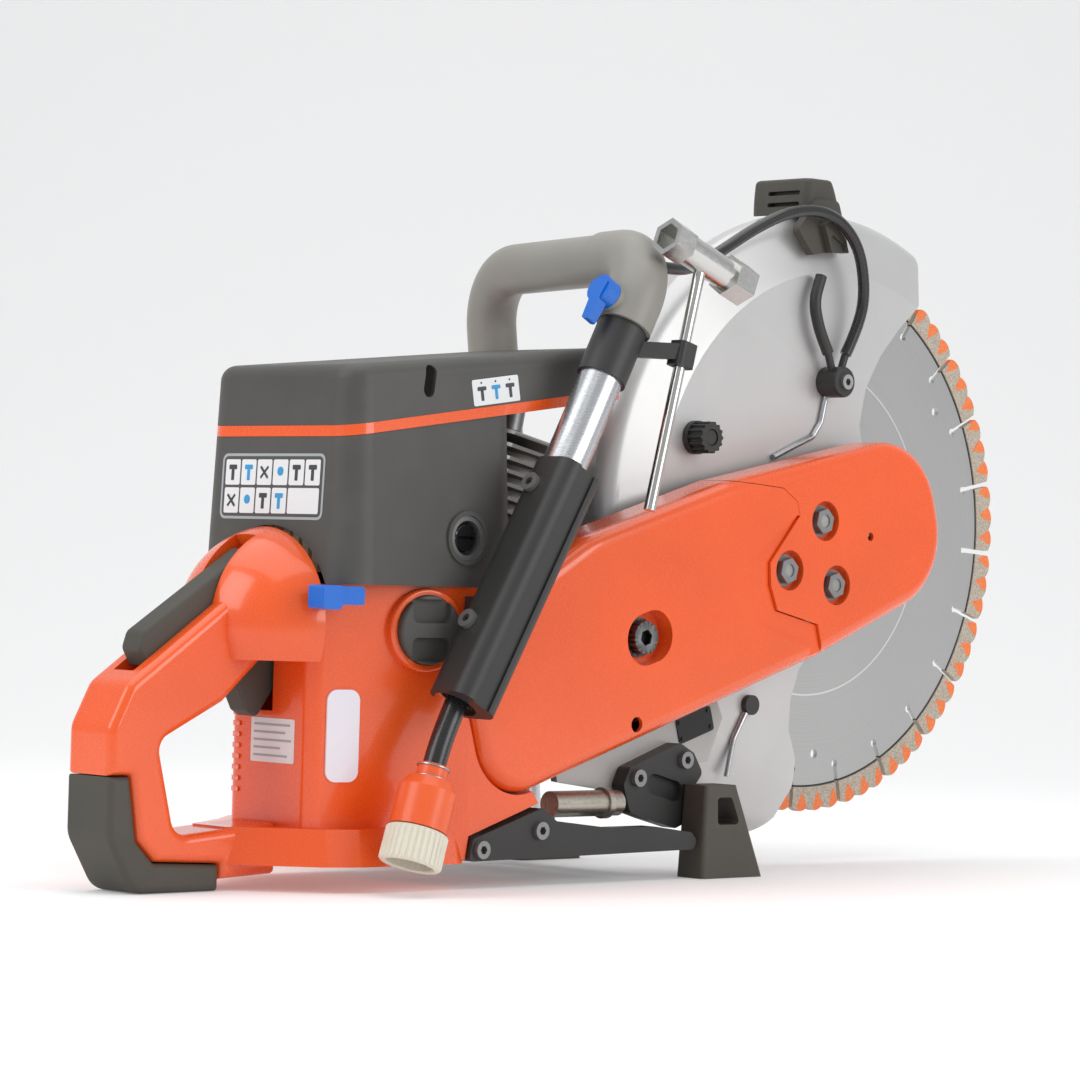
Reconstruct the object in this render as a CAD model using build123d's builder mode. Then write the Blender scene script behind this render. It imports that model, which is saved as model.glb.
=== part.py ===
from build123d import *
import os
from math import atan2, cos, degrees, radians, sin, tan

# Petrol cut-off saw for concrete: 350 mm diamond blade, belt drive, wet-cutting kit.
# +X points forward to the blade, +Y to the machine's left, +Z up; Z = 0 is the ground.
os.makedirs("parts", exist_ok=True)

# ---------------------------------------------------------------- driving dimensions (mm)
clear = 0.4                # gap between pieces that move past each other
running = 0.05             # radial clearance of a shaft in its bearing

# blade and arbor
blade_radius = 175.0
core_thickness = 3.0
segment_width = 4.2
segment_height = 14.7
segment_count = 24
segment_teeth = 3
first_slot_angle = 56.3
slot_length = 11.5
slot_width = 3.0
arbor_x = 188.0
arbor_z = 207.0
blade_y = -25.0
arbor_radius = 12.7
flange_radius = 51.0
flange_thickness = 8.0

# cutting arm, belt drive and belt guard
arm_length = 274.0
arm_angle = 17.0
arm_plate = 5.0
arm_inner_y = -55.0
belt_width = 14.0
belt_thickness = 4.0
belt_y = -70.5             # middle of the belt
drive_radius = 21.0
driven_radius = 42.0
guard_face_y = -89.0
guard_root_y = -61.0
guard_wall = 2.5
nut_places = [(222.0, 20.0), (184.0, 0.0), (222.0, -20.0)]
nut_pocket_radius = 12.0
nut_floor_y = guard_face_y + 6
tension_place = (60.0, -5.0)

# engine
engine_y = 3.0
engine_lean = 12.0
case_right_y = -32.0
case_left_y = 38.0
shaft_radius = 7.5
web_radius = 32.0
web_thickness = 12.0
rod_width = 10.0
crank_throw = 18.0
pin_radius = 6.0
bearing_radius = 17.5
bearing_width = 11.0
bore_radius = 25.5
fin_size = 74.0
fin_count = 10
fin_pitch = 7.5
fin_thickness = 2.2
flywheel_radius = 50.0
drum_radius = 40.0
drum_wall = 2.5
starter_radius = 72.0
starter_face_y = 126.0

# blade guard
guard_radius = 195.0
shell_wall = 2.2
shell_half_width = 22.0
guard_hub_radius = 34.0

# rear body
tank_right_y = -85.0
tank_left_y = 46.0
handle_y = -20.0
handle_width = 38.0
cover_right_y = -86.0
cover_left_y = 46.0
cover_rear_x = -246.0
strip_height = 6.0
strip_slope = 8.3

# front handle
tube_radius = 12.5
tube_wall = 2.0
grip_wall = 2.6
elbow_radius = 36.0

# water kit
hose_radius = 3.6
supply_radius = 6.5

crank_x = arbor_x - arm_length * cos(radians(arm_angle))
crank_z = arbor_z - arm_length * sin(radians(arm_angle))


# ---------------------------------------------------------------- helpers
def side(y):
    """Sketch plane with axes X and Z; extruding goes to the machine's right (-Y)."""
    return Plane(origin=(0, y, 0), x_dir=(1, 0, 0), z_dir=(0, -1, 0))


def arbor(y):
    """Sketch plane centred on the arbor; extruding goes to the right."""
    return Plane(origin=(arbor_x, y, arbor_z), x_dir=(1, 0, 0), z_dir=(0, -1, 0))


def crank(y):
    """Sketch plane centred on the crankshaft; extruding goes to the right."""
    return Plane(origin=(crank_x, y, crank_z), x_dir=(1, 0, 0), z_dir=(0, -1, 0))


def arm(y):
    """Sketch plane centred on the crankshaft, x along the cutting arm; extruding goes right."""
    along = (cos(radians(arm_angle)), 0, sin(radians(arm_angle)))
    return Plane(origin=(crank_x, y, crank_z), x_dir=along, z_dir=(0, -1, 0))


def level(z):
    """Sketch plane with axes X and Y at a height."""
    return Plane.XY.offset(z)


def cylinder_plane(height):
    """Sketch plane square to the leaning cylinder, at a height above the crankshaft."""
    a = radians(engine_lean)
    origin = (crank_x + height * sin(a), engine_y, crank_z + height * cos(a))
    return Plane(origin=origin, x_dir=(cos(a), 0, -sin(a)), z_dir=(sin(a), 0, cos(a)))


def polar(radius, angle):
    return radius * cos(radians(angle)), radius * sin(radians(angle))


def save(piece, name):
    piece.part.label = name
    export_step(piece.part, f"parts/{name}.step")


# ---------------------------------------------------------------- blade and its shaft
core_radius = blade_radius - segment_height
slot_middle = core_radius - slot_length / 2 + 0.5

with BuildPart() as blade_core:
    with BuildSketch(arbor(blade_y + core_thickness / 2)):
        Circle(core_radius)
        Circle(arbor_radius, mode=Mode.SUBTRACT)
        with PolarLocations(slot_middle, segment_count, start_angle=first_slot_angle):
            Rectangle(slot_length + 1, slot_width, mode=Mode.SUBTRACT)
        with PolarLocations(core_radius - slot_length, segment_count, start_angle=first_slot_angle):
            Circle(slot_width * 0.85, mode=Mode.SUBTRACT)
        with PolarLocations(core_radius * 0.873, 3, start_angle=34):
            Circle(3.0, mode=Mode.SUBTRACT)
    extrude(amount=core_thickness)
save(blade_core, "blade_core")

segment_pitch = 360 / segment_count
slot_angle = degrees(slot_width / core_radius)
tooth_angle = (segment_pitch - slot_angle) / segment_teeth
valley_radius = blade_radius - 2.6

with BuildPart() as blade_segments:
    with BuildSketch(arbor(blade_y + segment_width / 2)):
        for index in range(segment_count):
            start = first_slot_angle + index * segment_pitch + slot_angle / 2
            end = start + segment_teeth * tooth_angle
            with BuildLine():
                for tooth in range(segment_teeth):
                    rise = start + tooth * tooth_angle
                    top = polar(blade_radius, rise + tooth_angle * 0.42)
                    ThreePointArc(polar(valley_radius, rise), top, polar(valley_radius, rise + tooth_angle))
                Line(polar(valley_radius, end), polar(core_radius, end))
                middle = polar(core_radius, (start + end) / 2)
                ThreePointArc(polar(core_radius, end), middle, polar(core_radius, start))
                Line(polar(core_radius, start), polar(valley_radius, start))
            make_face()
    extrude(amount=segment_width)
save(blade_segments, "blade_segments")

inner_flange_y = blade_y - core_thickness / 2
outer_flange_y = blade_y + core_thickness / 2
with BuildPart() as blade_flanges:
    for face_y, direction in ((inner_flange_y, 1), (outer_flange_y, -1)):
        with BuildSketch(arbor(face_y)):
            Circle(flange_radius)
            Circle(arbor_radius, mode=Mode.SUBTRACT)
        extrude(amount=flange_thickness * 0.55 * direction)
        with BuildSketch(arbor(face_y + -direction * flange_thickness * 0.55)):
            Circle(flange_radius * 0.62)
            Circle(arbor_radius, mode=Mode.SUBTRACT)
        extrude(amount=flange_thickness * 0.45 * direction)
    rims = blade_flanges.edges().filter_by(GeomType.CIRCLE).filter_by(lambda e: e.radius > flange_radius - 1)
    chamfer(rims.sort_by(Axis.Y)[0], 1.5)
    chamfer(rims.sort_by(Axis.Y)[-1], 1.5)
save(blade_flanges, "blade_flanges")

shaft_left_y = outer_flange_y + flange_thickness
pulley_left_y = belt_y + belt_width / 2 + 2
pulley_right_y = belt_y - belt_width / 2 - 2
hub_left_y = inner_flange_y - flange_thickness
shaft_right_y = pulley_right_y - 5
bolt_head = 7.0
with BuildPart() as arbor_shaft:
    with BuildSketch(arbor(shaft_left_y)):
        Circle(arbor_radius)
    extrude(amount=shaft_left_y - shaft_right_y)
    chamfer(arbor_shaft.faces().sort_by(Axis.Y)[0].edges(), 1.5)
    with BuildSketch(arbor(shaft_left_y + 3)):
        Circle(17)
    extrude(amount=3)
    with BuildSketch(arbor(shaft_left_y + 3 + bolt_head)):
        RegularPolygon(9.5, 6, major_radius=False)
    extrude(amount=bolt_head)
save(arbor_shaft, "arbor_shaft")

with BuildPart() as driven_pulley:
    with BuildSketch(arbor(pulley_left_y)):
        Circle(driven_radius + 2)
    extrude(amount=pulley_left_y - pulley_right_y)
    for groove in range(6):
        groove_y = belt_y + belt_width / 2 - (groove + 0.5) * belt_width / 6 + 0.9
        with BuildSketch(arbor(groove_y)):
            Circle(driven_radius + 3)
            Circle(driven_radius - 1.4, mode=Mode.SUBTRACT)
        extrude(amount=1.8, mode=Mode.SUBTRACT)
    with BuildSketch(arbor(belt_y + belt_width / 2)):
        Circle(driven_radius + 3)
        Circle(driven_radius, mode=Mode.SUBTRACT)
    extrude(amount=belt_width, mode=Mode.SUBTRACT)
    with BuildSketch(arbor(pulley_right_y + 6)):
        Circle(driven_radius - 8)
        Circle(19, mode=Mode.SUBTRACT)
    extrude(amount=6, mode=Mode.SUBTRACT)
    with BuildSketch(arbor(pulley_left_y)):
        with PolarLocations((driven_radius + 11) / 2, 6):
            Circle(5.5)
    extrude(amount=pulley_left_y - pulley_right_y, mode=Mode.SUBTRACT)
    with BuildSketch(arbor(pulley_left_y)):
        Circle(arbor_radius)
    extrude(amount=pulley_left_y - pulley_right_y, mode=Mode.SUBTRACT)
save(driven_pulley, "driven_pulley")

# ---------------------------------------------------------------- clutch drum and drive pulley
drum_open_y = case_right_y - 4
drum_wall_y = pulley_left_y + 1
with BuildPart() as clutch_drum:
    with BuildSketch(crank(drum_open_y)):
        Circle(drum_radius)
    extrude(amount=drum_open_y - drum_wall_y)
    with BuildSketch(crank(drum_open_y)):
        Circle(drum_radius - drum_wall)
    extrude(amount=drum_open_y - drum_wall_y - drum_wall, mode=Mode.SUBTRACT)
    with BuildSketch(crank(drum_wall_y)):
        Circle(drive_radius + 3)
    extrude(amount=drum_wall_y - pulley_right_y)
    with BuildSketch(crank(belt_y + belt_width / 2)):
        Circle(drive_radius + 4)
        Circle(drive_radius, mode=Mode.SUBTRACT)
    extrude(amount=belt_width, mode=Mode.SUBTRACT)
    for groove in range(6):
        groove_y = belt_y + belt_width / 2 - (groove + 0.5) * belt_width / 6 + 0.9
        with BuildSketch(crank(groove_y)):
            Circle(drive_radius + 3)
            Circle(drive_radius - 1.4, mode=Mode.SUBTRACT)
        extrude(amount=1.8, mode=Mode.SUBTRACT)
    with BuildSketch(crank(drum_open_y)):
        Circle(shaft_radius + running)
    extrude(amount=drum_open_y - pulley_right_y, mode=Mode.SUBTRACT)
save(clutch_drum, "clutch_drum")

shoe_left_y = drum_open_y - 3
shoe_width = drum_open_y - drum_wall_y - drum_wall - 6
shoe_count = 3
with BuildPart() as clutch_shoes:
    with BuildSketch(crank(shoe_left_y)):
        Circle(drum_radius - drum_wall - 1.5)
        Circle(drum_radius - drum_wall - 13, mode=Mode.SUBTRACT)
        with PolarLocations(drum_radius - 9, shoe_count):
            Rectangle(30, 4, mode=Mode.SUBTRACT)
    extrude(amount=shoe_width)
    with BuildSketch(crank(shoe_left_y)):
        Circle(14)
        with PolarLocations(14, shoe_count, start_angle=60):
            Rectangle(20, 9)
        Circle(shaft_radius, mode=Mode.SUBTRACT)
    extrude(amount=shoe_width)
save(clutch_shoes, "clutch_shoes")

# ---------------------------------------------------------------- crankshaft, flywheel, bearings
shaft_end_y = pulley_right_y - 5
flywheel_y = 62.0
flywheel_width = 16.0
web_right_y = engine_y - rod_width / 2
web_left_y = engine_y + rod_width / 2
with BuildPart() as crankshaft:
    with BuildSketch(crank(web_right_y)):
        Circle(web_radius)
    extrude(amount=web_thickness)
    with BuildSketch(crank(web_left_y + web_thickness)):
        Circle(web_radius)
    extrude(amount=web_thickness)
    with BuildSketch(crank(web_right_y - web_thickness)):
        Circle(shaft_radius)
    extrude(amount=web_right_y - web_thickness - shaft_end_y)
    with BuildSketch(crank(flywheel_y + 8)):
        Circle(shaft_radius)
    extrude(amount=flywheel_y + 8 - web_left_y - web_thickness)
    with BuildSketch(crank(web_left_y)):
        with Locations((0, crank_throw)):
            Circle(pin_radius)
    extrude(amount=rod_width)
    with BuildSketch(crank(pulley_right_y - clear)):
        Circle(12)
    extrude(amount=2.2)
save(crankshaft, "crankshaft")

with BuildPart() as flywheel:
    with BuildSketch(crank(flywheel_y)):
        Circle(flywheel_radius - 8)
    extrude(amount=flywheel_width * 0.6)
    with BuildSketch(crank(flywheel_y)):
        with PolarLocations(flywheel_radius - 12, 18):
            Rectangle(20, 2.4)
    extrude(amount=flywheel_width)
    with BuildSketch(crank(flywheel_y)):
        Circle(shaft_radius)
    extrude(amount=flywheel_width, mode=Mode.SUBTRACT)
save(flywheel, "flywheel")

seat_right_y = case_right_y + 2
seat_left_y = case_left_y - 2
with BuildPart() as crank_bearings:
    for face_y in (seat_right_y + bearing_width, seat_left_y):
        with BuildSketch(crank(face_y)):
            Circle(bearing_radius)
            Circle(shaft_radius + running, mode=Mode.SUBTRACT)
        extrude(amount=bearing_width)

# ---------------------------------------------------------------- crankcase
with BuildPart() as crankcase:
    with BuildSketch(crank(case_left_y)):
        Circle(44)
        with Locations((0, -8)):
            RectangleRounded(96, 64, 12)
    extrude(amount=case_left_y - case_right_y)
    with BuildSketch(cylinder_plane(20)):
        RectangleRounded(72, 66, 8)
    extrude(amount=24)
    with BuildSketch(crank(web_left_y + web_thickness + 1)):
        Circle(web_radius + 1.5)
    extrude(amount=2 * web_thickness + rod_width + 2, mode=Mode.SUBTRACT)
    with BuildSketch(cylinder_plane(10)):
        Circle(bore_radius + 0.5)
    extrude(amount=40, mode=Mode.SUBTRACT)
    with BuildSketch(crank(seat_left_y)):
        Circle(bearing_radius)
    extrude(amount=seat_left_y - seat_right_y, mode=Mode.SUBTRACT)
    with BuildSketch(crank(case_left_y)):
        Circle(shaft_radius + 1)
    extrude(amount=case_left_y - case_right_y, mode=Mode.SUBTRACT)
save(crankcase, "crankcase")

# ---------------------------------------------------------------- cylinder, piston and rod
barrel_foot = 44.5
barrel_top = 118.0
valve_x = -38.0
valve_z = 221.0
valve_body_y = engine_y - fin_size / 2
with BuildPart() as cylinder:
    with BuildSketch(cylinder_plane(barrel_foot)):
        RectangleRounded(72, 66, 8)
    extrude(amount=6)
    with BuildSketch(cylinder_plane(barrel_foot)):
        Circle(bore_radius + 5)
    extrude(amount=barrel_top - barrel_foot)
    for fin in range(fin_count):
        with BuildSketch(cylinder_plane(barrel_foot + 12 + fin * fin_pitch)):
            RectangleRounded(fin_size, fin_size, 10)
        extrude(amount=fin_thickness)
    with BuildSketch(cylinder_plane(barrel_top)):
        Circle(13)
    extrude(amount=8)
    with BuildSketch(cylinder_plane(barrel_foot)):
        Circle(bore_radius)
    extrude(amount=barrel_top - barrel_foot - 14, mode=Mode.SUBTRACT)
    with BuildSketch(cylinder_plane(barrel_top - 16)):
        Circle(7)
    extrude(amount=30, mode=Mode.SUBTRACT)
    valve_plane = Plane(origin=(valve_x, valve_body_y, valve_z), z_dir=(0, -1, 0))
    with BuildSketch(valve_plane.offset(-6)):
        RegularPolygon(7.5, 6, major_radius=False)
    extrude(amount=11)
    with BuildSketch(valve_plane.offset(5)):
        Circle(4.2)
    extrude(amount=2)
    with BuildSketch(valve_plane.offset(7)):
        Circle(2.3)
    extrude(amount=-11, mode=Mode.SUBTRACT)
save(cylinder, "cylinder")

crown = 98.0
with BuildPart() as piston:
    with BuildSketch(cylinder_plane(crown - 36)):
        Circle(bore_radius - 0.06)
    extrude(amount=36)
    with BuildSketch(cylinder_plane(crown - 36)):
        Circle(bore_radius - 4)
    extrude(amount=31, mode=Mode.SUBTRACT)
    for ring in range(2):
        with BuildSketch(cylinder_plane(crown - 6 - ring * 5)):
            Circle(bore_radius + 1)
            Circle(bore_radius - 2, mode=Mode.SUBTRACT)
        extrude(amount=1.5, mode=Mode.SUBTRACT)

rod_eye = crown - 22
rod_foot = crank_throw + pin_radius + 9
with BuildPart() as connecting_rod:
    with BuildSketch(cylinder_plane(rod_foot)):
        Rectangle(13, rod_width - 2)
    extrude(amount=rod_eye - rod_foot)
    a = radians(engine_lean)
    eye = Plane(
        origin=(crank_x + rod_eye * sin(a), engine_y + rod_width / 2 - 1, crank_z + rod_eye * cos(a)),
        z_dir=(0, -1, 0),
    )
    with BuildSketch(eye):
        Circle(10)
    extrude(amount=rod_width - 2)
    with BuildSketch(eye):
        Circle(5.5)
    extrude(amount=rod_width - 2, mode=Mode.SUBTRACT)

with BuildPart() as piston_and_rod:
    add(piston.part)
    pin_half = bore_radius - 1
    pin_plane = Plane(
        origin=(crank_x + rod_eye * sin(a), engine_y + pin_half, crank_z + rod_eye * cos(a)),
        z_dir=(0, -1, 0),
    )
    with BuildSketch(pin_plane):
        Circle(5.5 - running)
    extrude(amount=2 * pin_half)
    add(connecting_rod.part)
save(piston_and_rod, "piston_and_rod")

with BuildPart() as spark_plug:
    with BuildSketch(cylinder_plane(barrel_top - 16)):
        Circle(6.9)
    extrude(amount=24)
    with BuildSketch(cylinder_plane(barrel_top + 8)):
        RegularPolygon(8, 6, major_radius=False)
    extrude(amount=7)
    with BuildSketch(cylinder_plane(barrel_top + 15)):
        Circle(5)
    extrude(amount=16)

with BuildPart() as plug_boot:
    with BuildSketch(cylinder_plane(barrel_top + 15.4)):
        Circle(9)
        Circle(5.1, mode=Mode.SUBTRACT)
    extrude(amount=12)
    with BuildSketch(cylinder_plane(barrel_top + 27.4)):
        Circle(9)
    extrude(amount=7)
    with BuildSketch(cylinder_plane(barrel_top + 27.4)):
        Circle(5.1)
    extrude(amount=4, mode=Mode.SUBTRACT)

with BuildPart() as ignition_plug:
    for piece in (spark_plug, plug_boot):
        add(piece.part)
save(ignition_plug, "spark_plug")

# decompression valve: a blue push button on the cylinder's right side
with BuildPart() as decompression_valve:
    with BuildSketch(Plane(origin=(valve_x, valve_body_y - 12, valve_z), z_dir=(0, -1, 0))):
        Circle(6)
    extrude(amount=5)
    fillet(decompression_valve.edges().sort_by(Axis.Y)[0], 1.5)
    with BuildSketch(Plane(origin=(valve_x, valve_body_y - 12, valve_z), z_dir=(0, -1, 0))):
        Circle(2.3 - running)
    extrude(amount=-5.5)
save(decompression_valve, "decompression_valve")

# ---------------------------------------------------------------- cutting arm
hub_radius = guard_hub_radius - clear
arm_outer_y = arm_inner_y - arm_plate
arbor_bearing_radius = 26.0
clutch_bore = drum_radius + 3
with BuildPart() as cutting_arm:
    with BuildSketch(arm(arm_inner_y)):
        Circle(54)
        with Locations((arm_length, 0)):
            Circle(44)
        make_hull()
        with Locations((0, 0)):
            Circle(clutch_bore, mode=Mode.SUBTRACT)
    extrude(amount=arm_plate)
    with BuildSketch(side(arm_inner_y)):
        with BuildLine():
            Polyline((-66, 84), (-58, 56), (-14, 50), (20, 62), (66, 66), (78, 92), (60, 128), (-30, 100), close=True)
        make_face()
        with Locations((crank_x, crank_z)):
            Circle(clutch_bore, mode=Mode.SUBTRACT)
    extrude(amount=arm_plate)
    with BuildSketch(crank(case_right_y)):
        Circle(clutch_bore + 7)
        Circle(clutch_bore, mode=Mode.SUBTRACT)
    extrude(amount=case_right_y - arm_outer_y)
    with BuildSketch(arbor(hub_left_y - 1)):
        Circle(hub_radius)
    extrude(amount=hub_left_y - 1 - arm_outer_y)
    with BuildSketch(arbor(hub_left_y - 1)):
        Circle(arbor_bearing_radius)
    extrude(amount=hub_left_y - 1 - arm_outer_y, mode=Mode.SUBTRACT)
    with BuildSketch(arm(arm_outer_y)):
        with Locations(*nut_places):
            Circle(4)
    extrude(amount=arm_outer_y - nut_floor_y + 5)
save(cutting_arm, "cutting_arm")

hub_width = hub_left_y - 1 - arm_outer_y
with BuildPart() as arbor_bearings:
    for face_y in (hub_left_y - 1.5, hub_left_y - 1 - hub_width / 2):
        with BuildSketch(arbor(face_y)):
            Circle(arbor_bearing_radius)
            Circle(arbor_radius + running, mode=Mode.SUBTRACT)
        extrude(amount=hub_width / 2 - 1)

with BuildPart() as shaft_bearings:
    for piece in (crank_bearings, arbor_bearings):
        add(piece.part)
save(shaft_bearings, "shaft_bearings")

with BuildPart() as data_plate:
    plate = Plane(origin=(54, arm_outer_y, 88), x_dir=(cos(radians(arm_angle)), 0, sin(radians(arm_angle))),
                  z_dir=(0, -1, 0))
    with BuildSketch(plate):
        RectangleRounded(30, 15, 2)
    extrude(amount=0.8)
    with BuildSketch(Plane(plate.origin + Vector(0, -0.8, 0), x_dir=plate.x_dir, z_dir=(0, -1, 0))):
        with GridLocations(25, 10, 2, 2):
            Circle(1.3)
    extrude(amount=0.7)
save(data_plate, "data_plate")

# drive belt: the straight runs and both wraps in one loop
with BuildPart() as drive_belt:
    with BuildSketch(arm(belt_y + belt_width / 2 - 0.3)):
        Circle(drive_radius + 0.3 + belt_thickness)
        with Locations((arm_length, 0)):
            Circle(driven_radius + 0.3 + belt_thickness)
        make_hull()
        offset(amount=-belt_thickness, mode=Mode.SUBTRACT)
    extrude(amount=belt_width - 0.6)
save(drive_belt, "drive_belt")

# ---------------------------------------------------------------- belt guard, two shells
front_joint = [(152, 64), (191, 49), (201, 38), (201, 29), (169, 9), (166, -4), (168, -20), (200, -38), (200, -70)]
rear_step = [(188, -70), (190, -49), (150, -24), (146, -14), (151, 14), (180, 24), (199, 30)]
front_region = [(152, 90), *front_joint, (400, -70), (400, 90)]
step_region = [*front_joint[3:], *rear_step]
guard_depth = guard_root_y - guard_face_y
guard_round = 9.0


def belt_guard_shell(shrink):
    """Face of both belt guards on the arm plane, drawn inwards by shrink."""
    corners = [(150, 64), (327, 48), (327, -47), (200, -58), (-82, -62), (-82, 4), (-44, 47), (30, 64)]
    rounds = [60, 46, 46, 60, 34, 40, 50, 60]
    face = make_face(FilletPolyline(*corners, radius=rounds, close=True).edges())
    return offset(face, amount=-shrink) if shrink else face


guard_outer = belt_guard_shell(0)
guard_cavity = belt_guard_shell(guard_wall)
guard_room = belt_guard_shell(-1.5)
with BuildPart() as guard_core:
    with BuildSketch(arm(guard_root_y)):
        add(guard_cavity)
    extrude(amount=guard_depth - guard_wall)
    fillet(guard_core.faces().sort_by(Axis.Y)[0].edges(), guard_round - guard_wall)

with BuildPart() as rear_belt_guard:
    with BuildSketch(arm(guard_root_y)):
        add(guard_outer)
    extrude(amount=guard_depth)
    fillet(rear_belt_guard.faces().sort_by(Axis.Y)[0].edges(), guard_round)
    add(guard_core.part, mode=Mode.SUBTRACT)
    with BuildSketch(arm(guard_root_y)):
        with Locations(tension_place):
            SlotOverall(44, 36)
    extrude(amount=guard_depth - guard_wall)
    with BuildSketch(arm(guard_face_y)):
        with Locations(tension_place):
            SlotOverall(37, 30)
    extrude(amount=-11, mode=Mode.SUBTRACT)
    with BuildSketch(arm(guard_face_y)):
        with Locations(tension_place):
            Circle(6)
        with Locations((37, -50)):
            Circle(4.5)
    extrude(amount=-guard_depth, mode=Mode.SUBTRACT)
    with BuildSketch(arm(guard_face_y)):
        Polygon(*step_region, align=None)
    extrude(amount=-2, mode=Mode.SUBTRACT)
    with BuildSketch(arm(guard_root_y + 1)):
        Polygon(*front_region, align=None)
        offset(amount=clear)
    extrude(amount=guard_depth + 2, mode=Mode.SUBTRACT)
save(rear_belt_guard, "rear_belt_guard")

with BuildPart() as front_belt_guard:
    with BuildSketch(arm(guard_root_y)):
        add(guard_outer)
    extrude(amount=guard_depth)
    fillet(front_belt_guard.faces().sort_by(Axis.Y)[0].edges(), guard_round)
    add(guard_core.part, mode=Mode.SUBTRACT)
    with BuildSketch(arm(nut_floor_y + guard_wall)):
        with Locations(*nut_places):
            Circle(nut_pocket_radius + guard_wall)
    extrude(amount=6.5)
    with BuildSketch(arm(guard_face_y)):
        with Locations(*nut_places):
            Circle(nut_pocket_radius)
    extrude(amount=-6, mode=Mode.SUBTRACT)
    with BuildSketch(arm(guard_face_y)):
        with Locations(*nut_places):
            Circle(4.3)
        with Locations((259, 0)):
            Circle(2.6)
    extrude(amount=-20, mode=Mode.SUBTRACT)
    with BuildSketch(arm(guard_root_y + 1)):
        Rectangle(1400, 700)
        Polygon(*front_region, align=None, mode=Mode.SUBTRACT)
    extrude(amount=guard_depth + 2, mode=Mode.SUBTRACT)
save(front_belt_guard, "front_belt_guard")

with BuildPart() as guard_nuts:
    with BuildSketch(arm(nut_floor_y)):
        with Locations(*nut_places):
            Circle(9.5)
            Circle(4, mode=Mode.SUBTRACT)
    extrude(amount=1.6)
    with BuildSketch(arm(nut_floor_y - 1.6)):
        with Locations(*nut_places):
            RegularPolygon(6.8, 6, major_radius=False)
            Circle(4, mode=Mode.SUBTRACT)
    extrude(amount=4.4)

tension_floor_y = guard_face_y + 11
with BuildPart() as tension_bolt:
    with BuildSketch(arm(tension_floor_y)):
        with Locations(tension_place):
            Circle(11.5)
    extrude(amount=2)
    with BuildSketch(arm(tension_floor_y - 2)):
        with Locations(tension_place):
            Circle(9.5)
    extrude(amount=6)
    with BuildSketch(arm(tension_floor_y - 8)):
        with Locations(tension_place):
            RegularPolygon(4.2, 6, major_radius=False)
    extrude(amount=-4, mode=Mode.SUBTRACT)
    with BuildSketch(arm(tension_floor_y)):
        with Locations(tension_place):
            Circle(5)
    extrude(amount=tension_floor_y - arm_outer_y)

# ---------------------------------------------------------------- blade guard
guard_right_y = blade_y - shell_half_width
guard_left_y = blade_y + shell_half_width
flat_radius = 158.0
shoulder_radius = 184.0
side_opening = 68.0
fitting_place = (176, 297)
knob_place = (60, 258)
jet_place = (114, 99)
guard_start = 66.0
guard_sweep = 186.0
nose = [(270, 392), (262, 350), (243, 334), (226, 316), (213, 295), (208, 272), (214, 250), (226, 238)]
heel = [(226, 176), (196, 160), (159, 121), (152, 102), (151, 84), (158, 66), (156, 48), (146, 30), (130, 19)]


def guard_section(inset):
    """Half section of the guard shell, radius and Y, drawn inwards by inset."""
    i = inset
    w = shell_half_width
    with BuildLine() as line:
        Polyline((20, -w + i), (flat_radius, -w + i), (shoulder_radius - i, -w + 6 + i))
        top = (guard_radius - i, -w + 18)
        ThreePointArc((shoulder_radius - i, -w + 6 + i), (guard_radius - 3.5 - i, -w + 10.5 + i * 0.6), top)
        Line(top, (guard_radius - i, w - 18))
        bend = (guard_radius - 3.5 - i, w - 10.5 - i * 0.6)
        ThreePointArc((guard_radius - i, w - 18), bend, (shoulder_radius - i, w - 6 - i))
        Polyline((shoulder_radius - i, w - 6 - i), (flat_radius, w - i), (20, w - i), (20, -w + i))
    return line.edges()


handle_x = 152.0
handle_top = 421.0
with BuildPart() as blade_guard:
    with BuildSketch(Plane(origin=(arbor_x, blade_y, arbor_z), x_dir=(-1, 0, 0), z_dir=(0, 0, 1))):
        make_face(guard_section(0))
        make_face(guard_section(shell_wall), mode=Mode.SUBTRACT)
    revolve(axis=Axis((arbor_x, blade_y, arbor_z), (0, 1, 0)), revolution_arc=360)
    with BuildSketch(side(guard_left_y + 1)):
        with BuildLine():
            Polyline(*nose)
            Polyline(nose[-1], (270, 207), heel[0])
            Polyline(*heel)
            Polyline(heel[-1], (126, -10), (420, -10), (420, 440), (270, 440), nose[0])
        make_face()
    extrude(amount=2 * shell_half_width + 2, mode=Mode.SUBTRACT)
    with BuildSketch(arbor(guard_left_y + 1)):
        Circle(side_opening)
    extrude(amount=shell_half_width, mode=Mode.SUBTRACT)
    with BuildSketch(arbor(guard_right_y + shell_wall)):
        Circle(guard_hub_radius + 7)
    extrude(amount=shell_wall)
    with BuildSketch(arbor(guard_right_y + shell_half_width)):
        Circle(guard_hub_radius)
    extrude(amount=shell_half_width + 1, mode=Mode.SUBTRACT)
    with BuildSketch(side(guard_right_y)):
        with Locations(fitting_place, knob_place, jet_place):
            Circle(4)
    extrude(amount=-shell_wall, mode=Mode.SUBTRACT)
save(blade_guard, "blade_guard")

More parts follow.
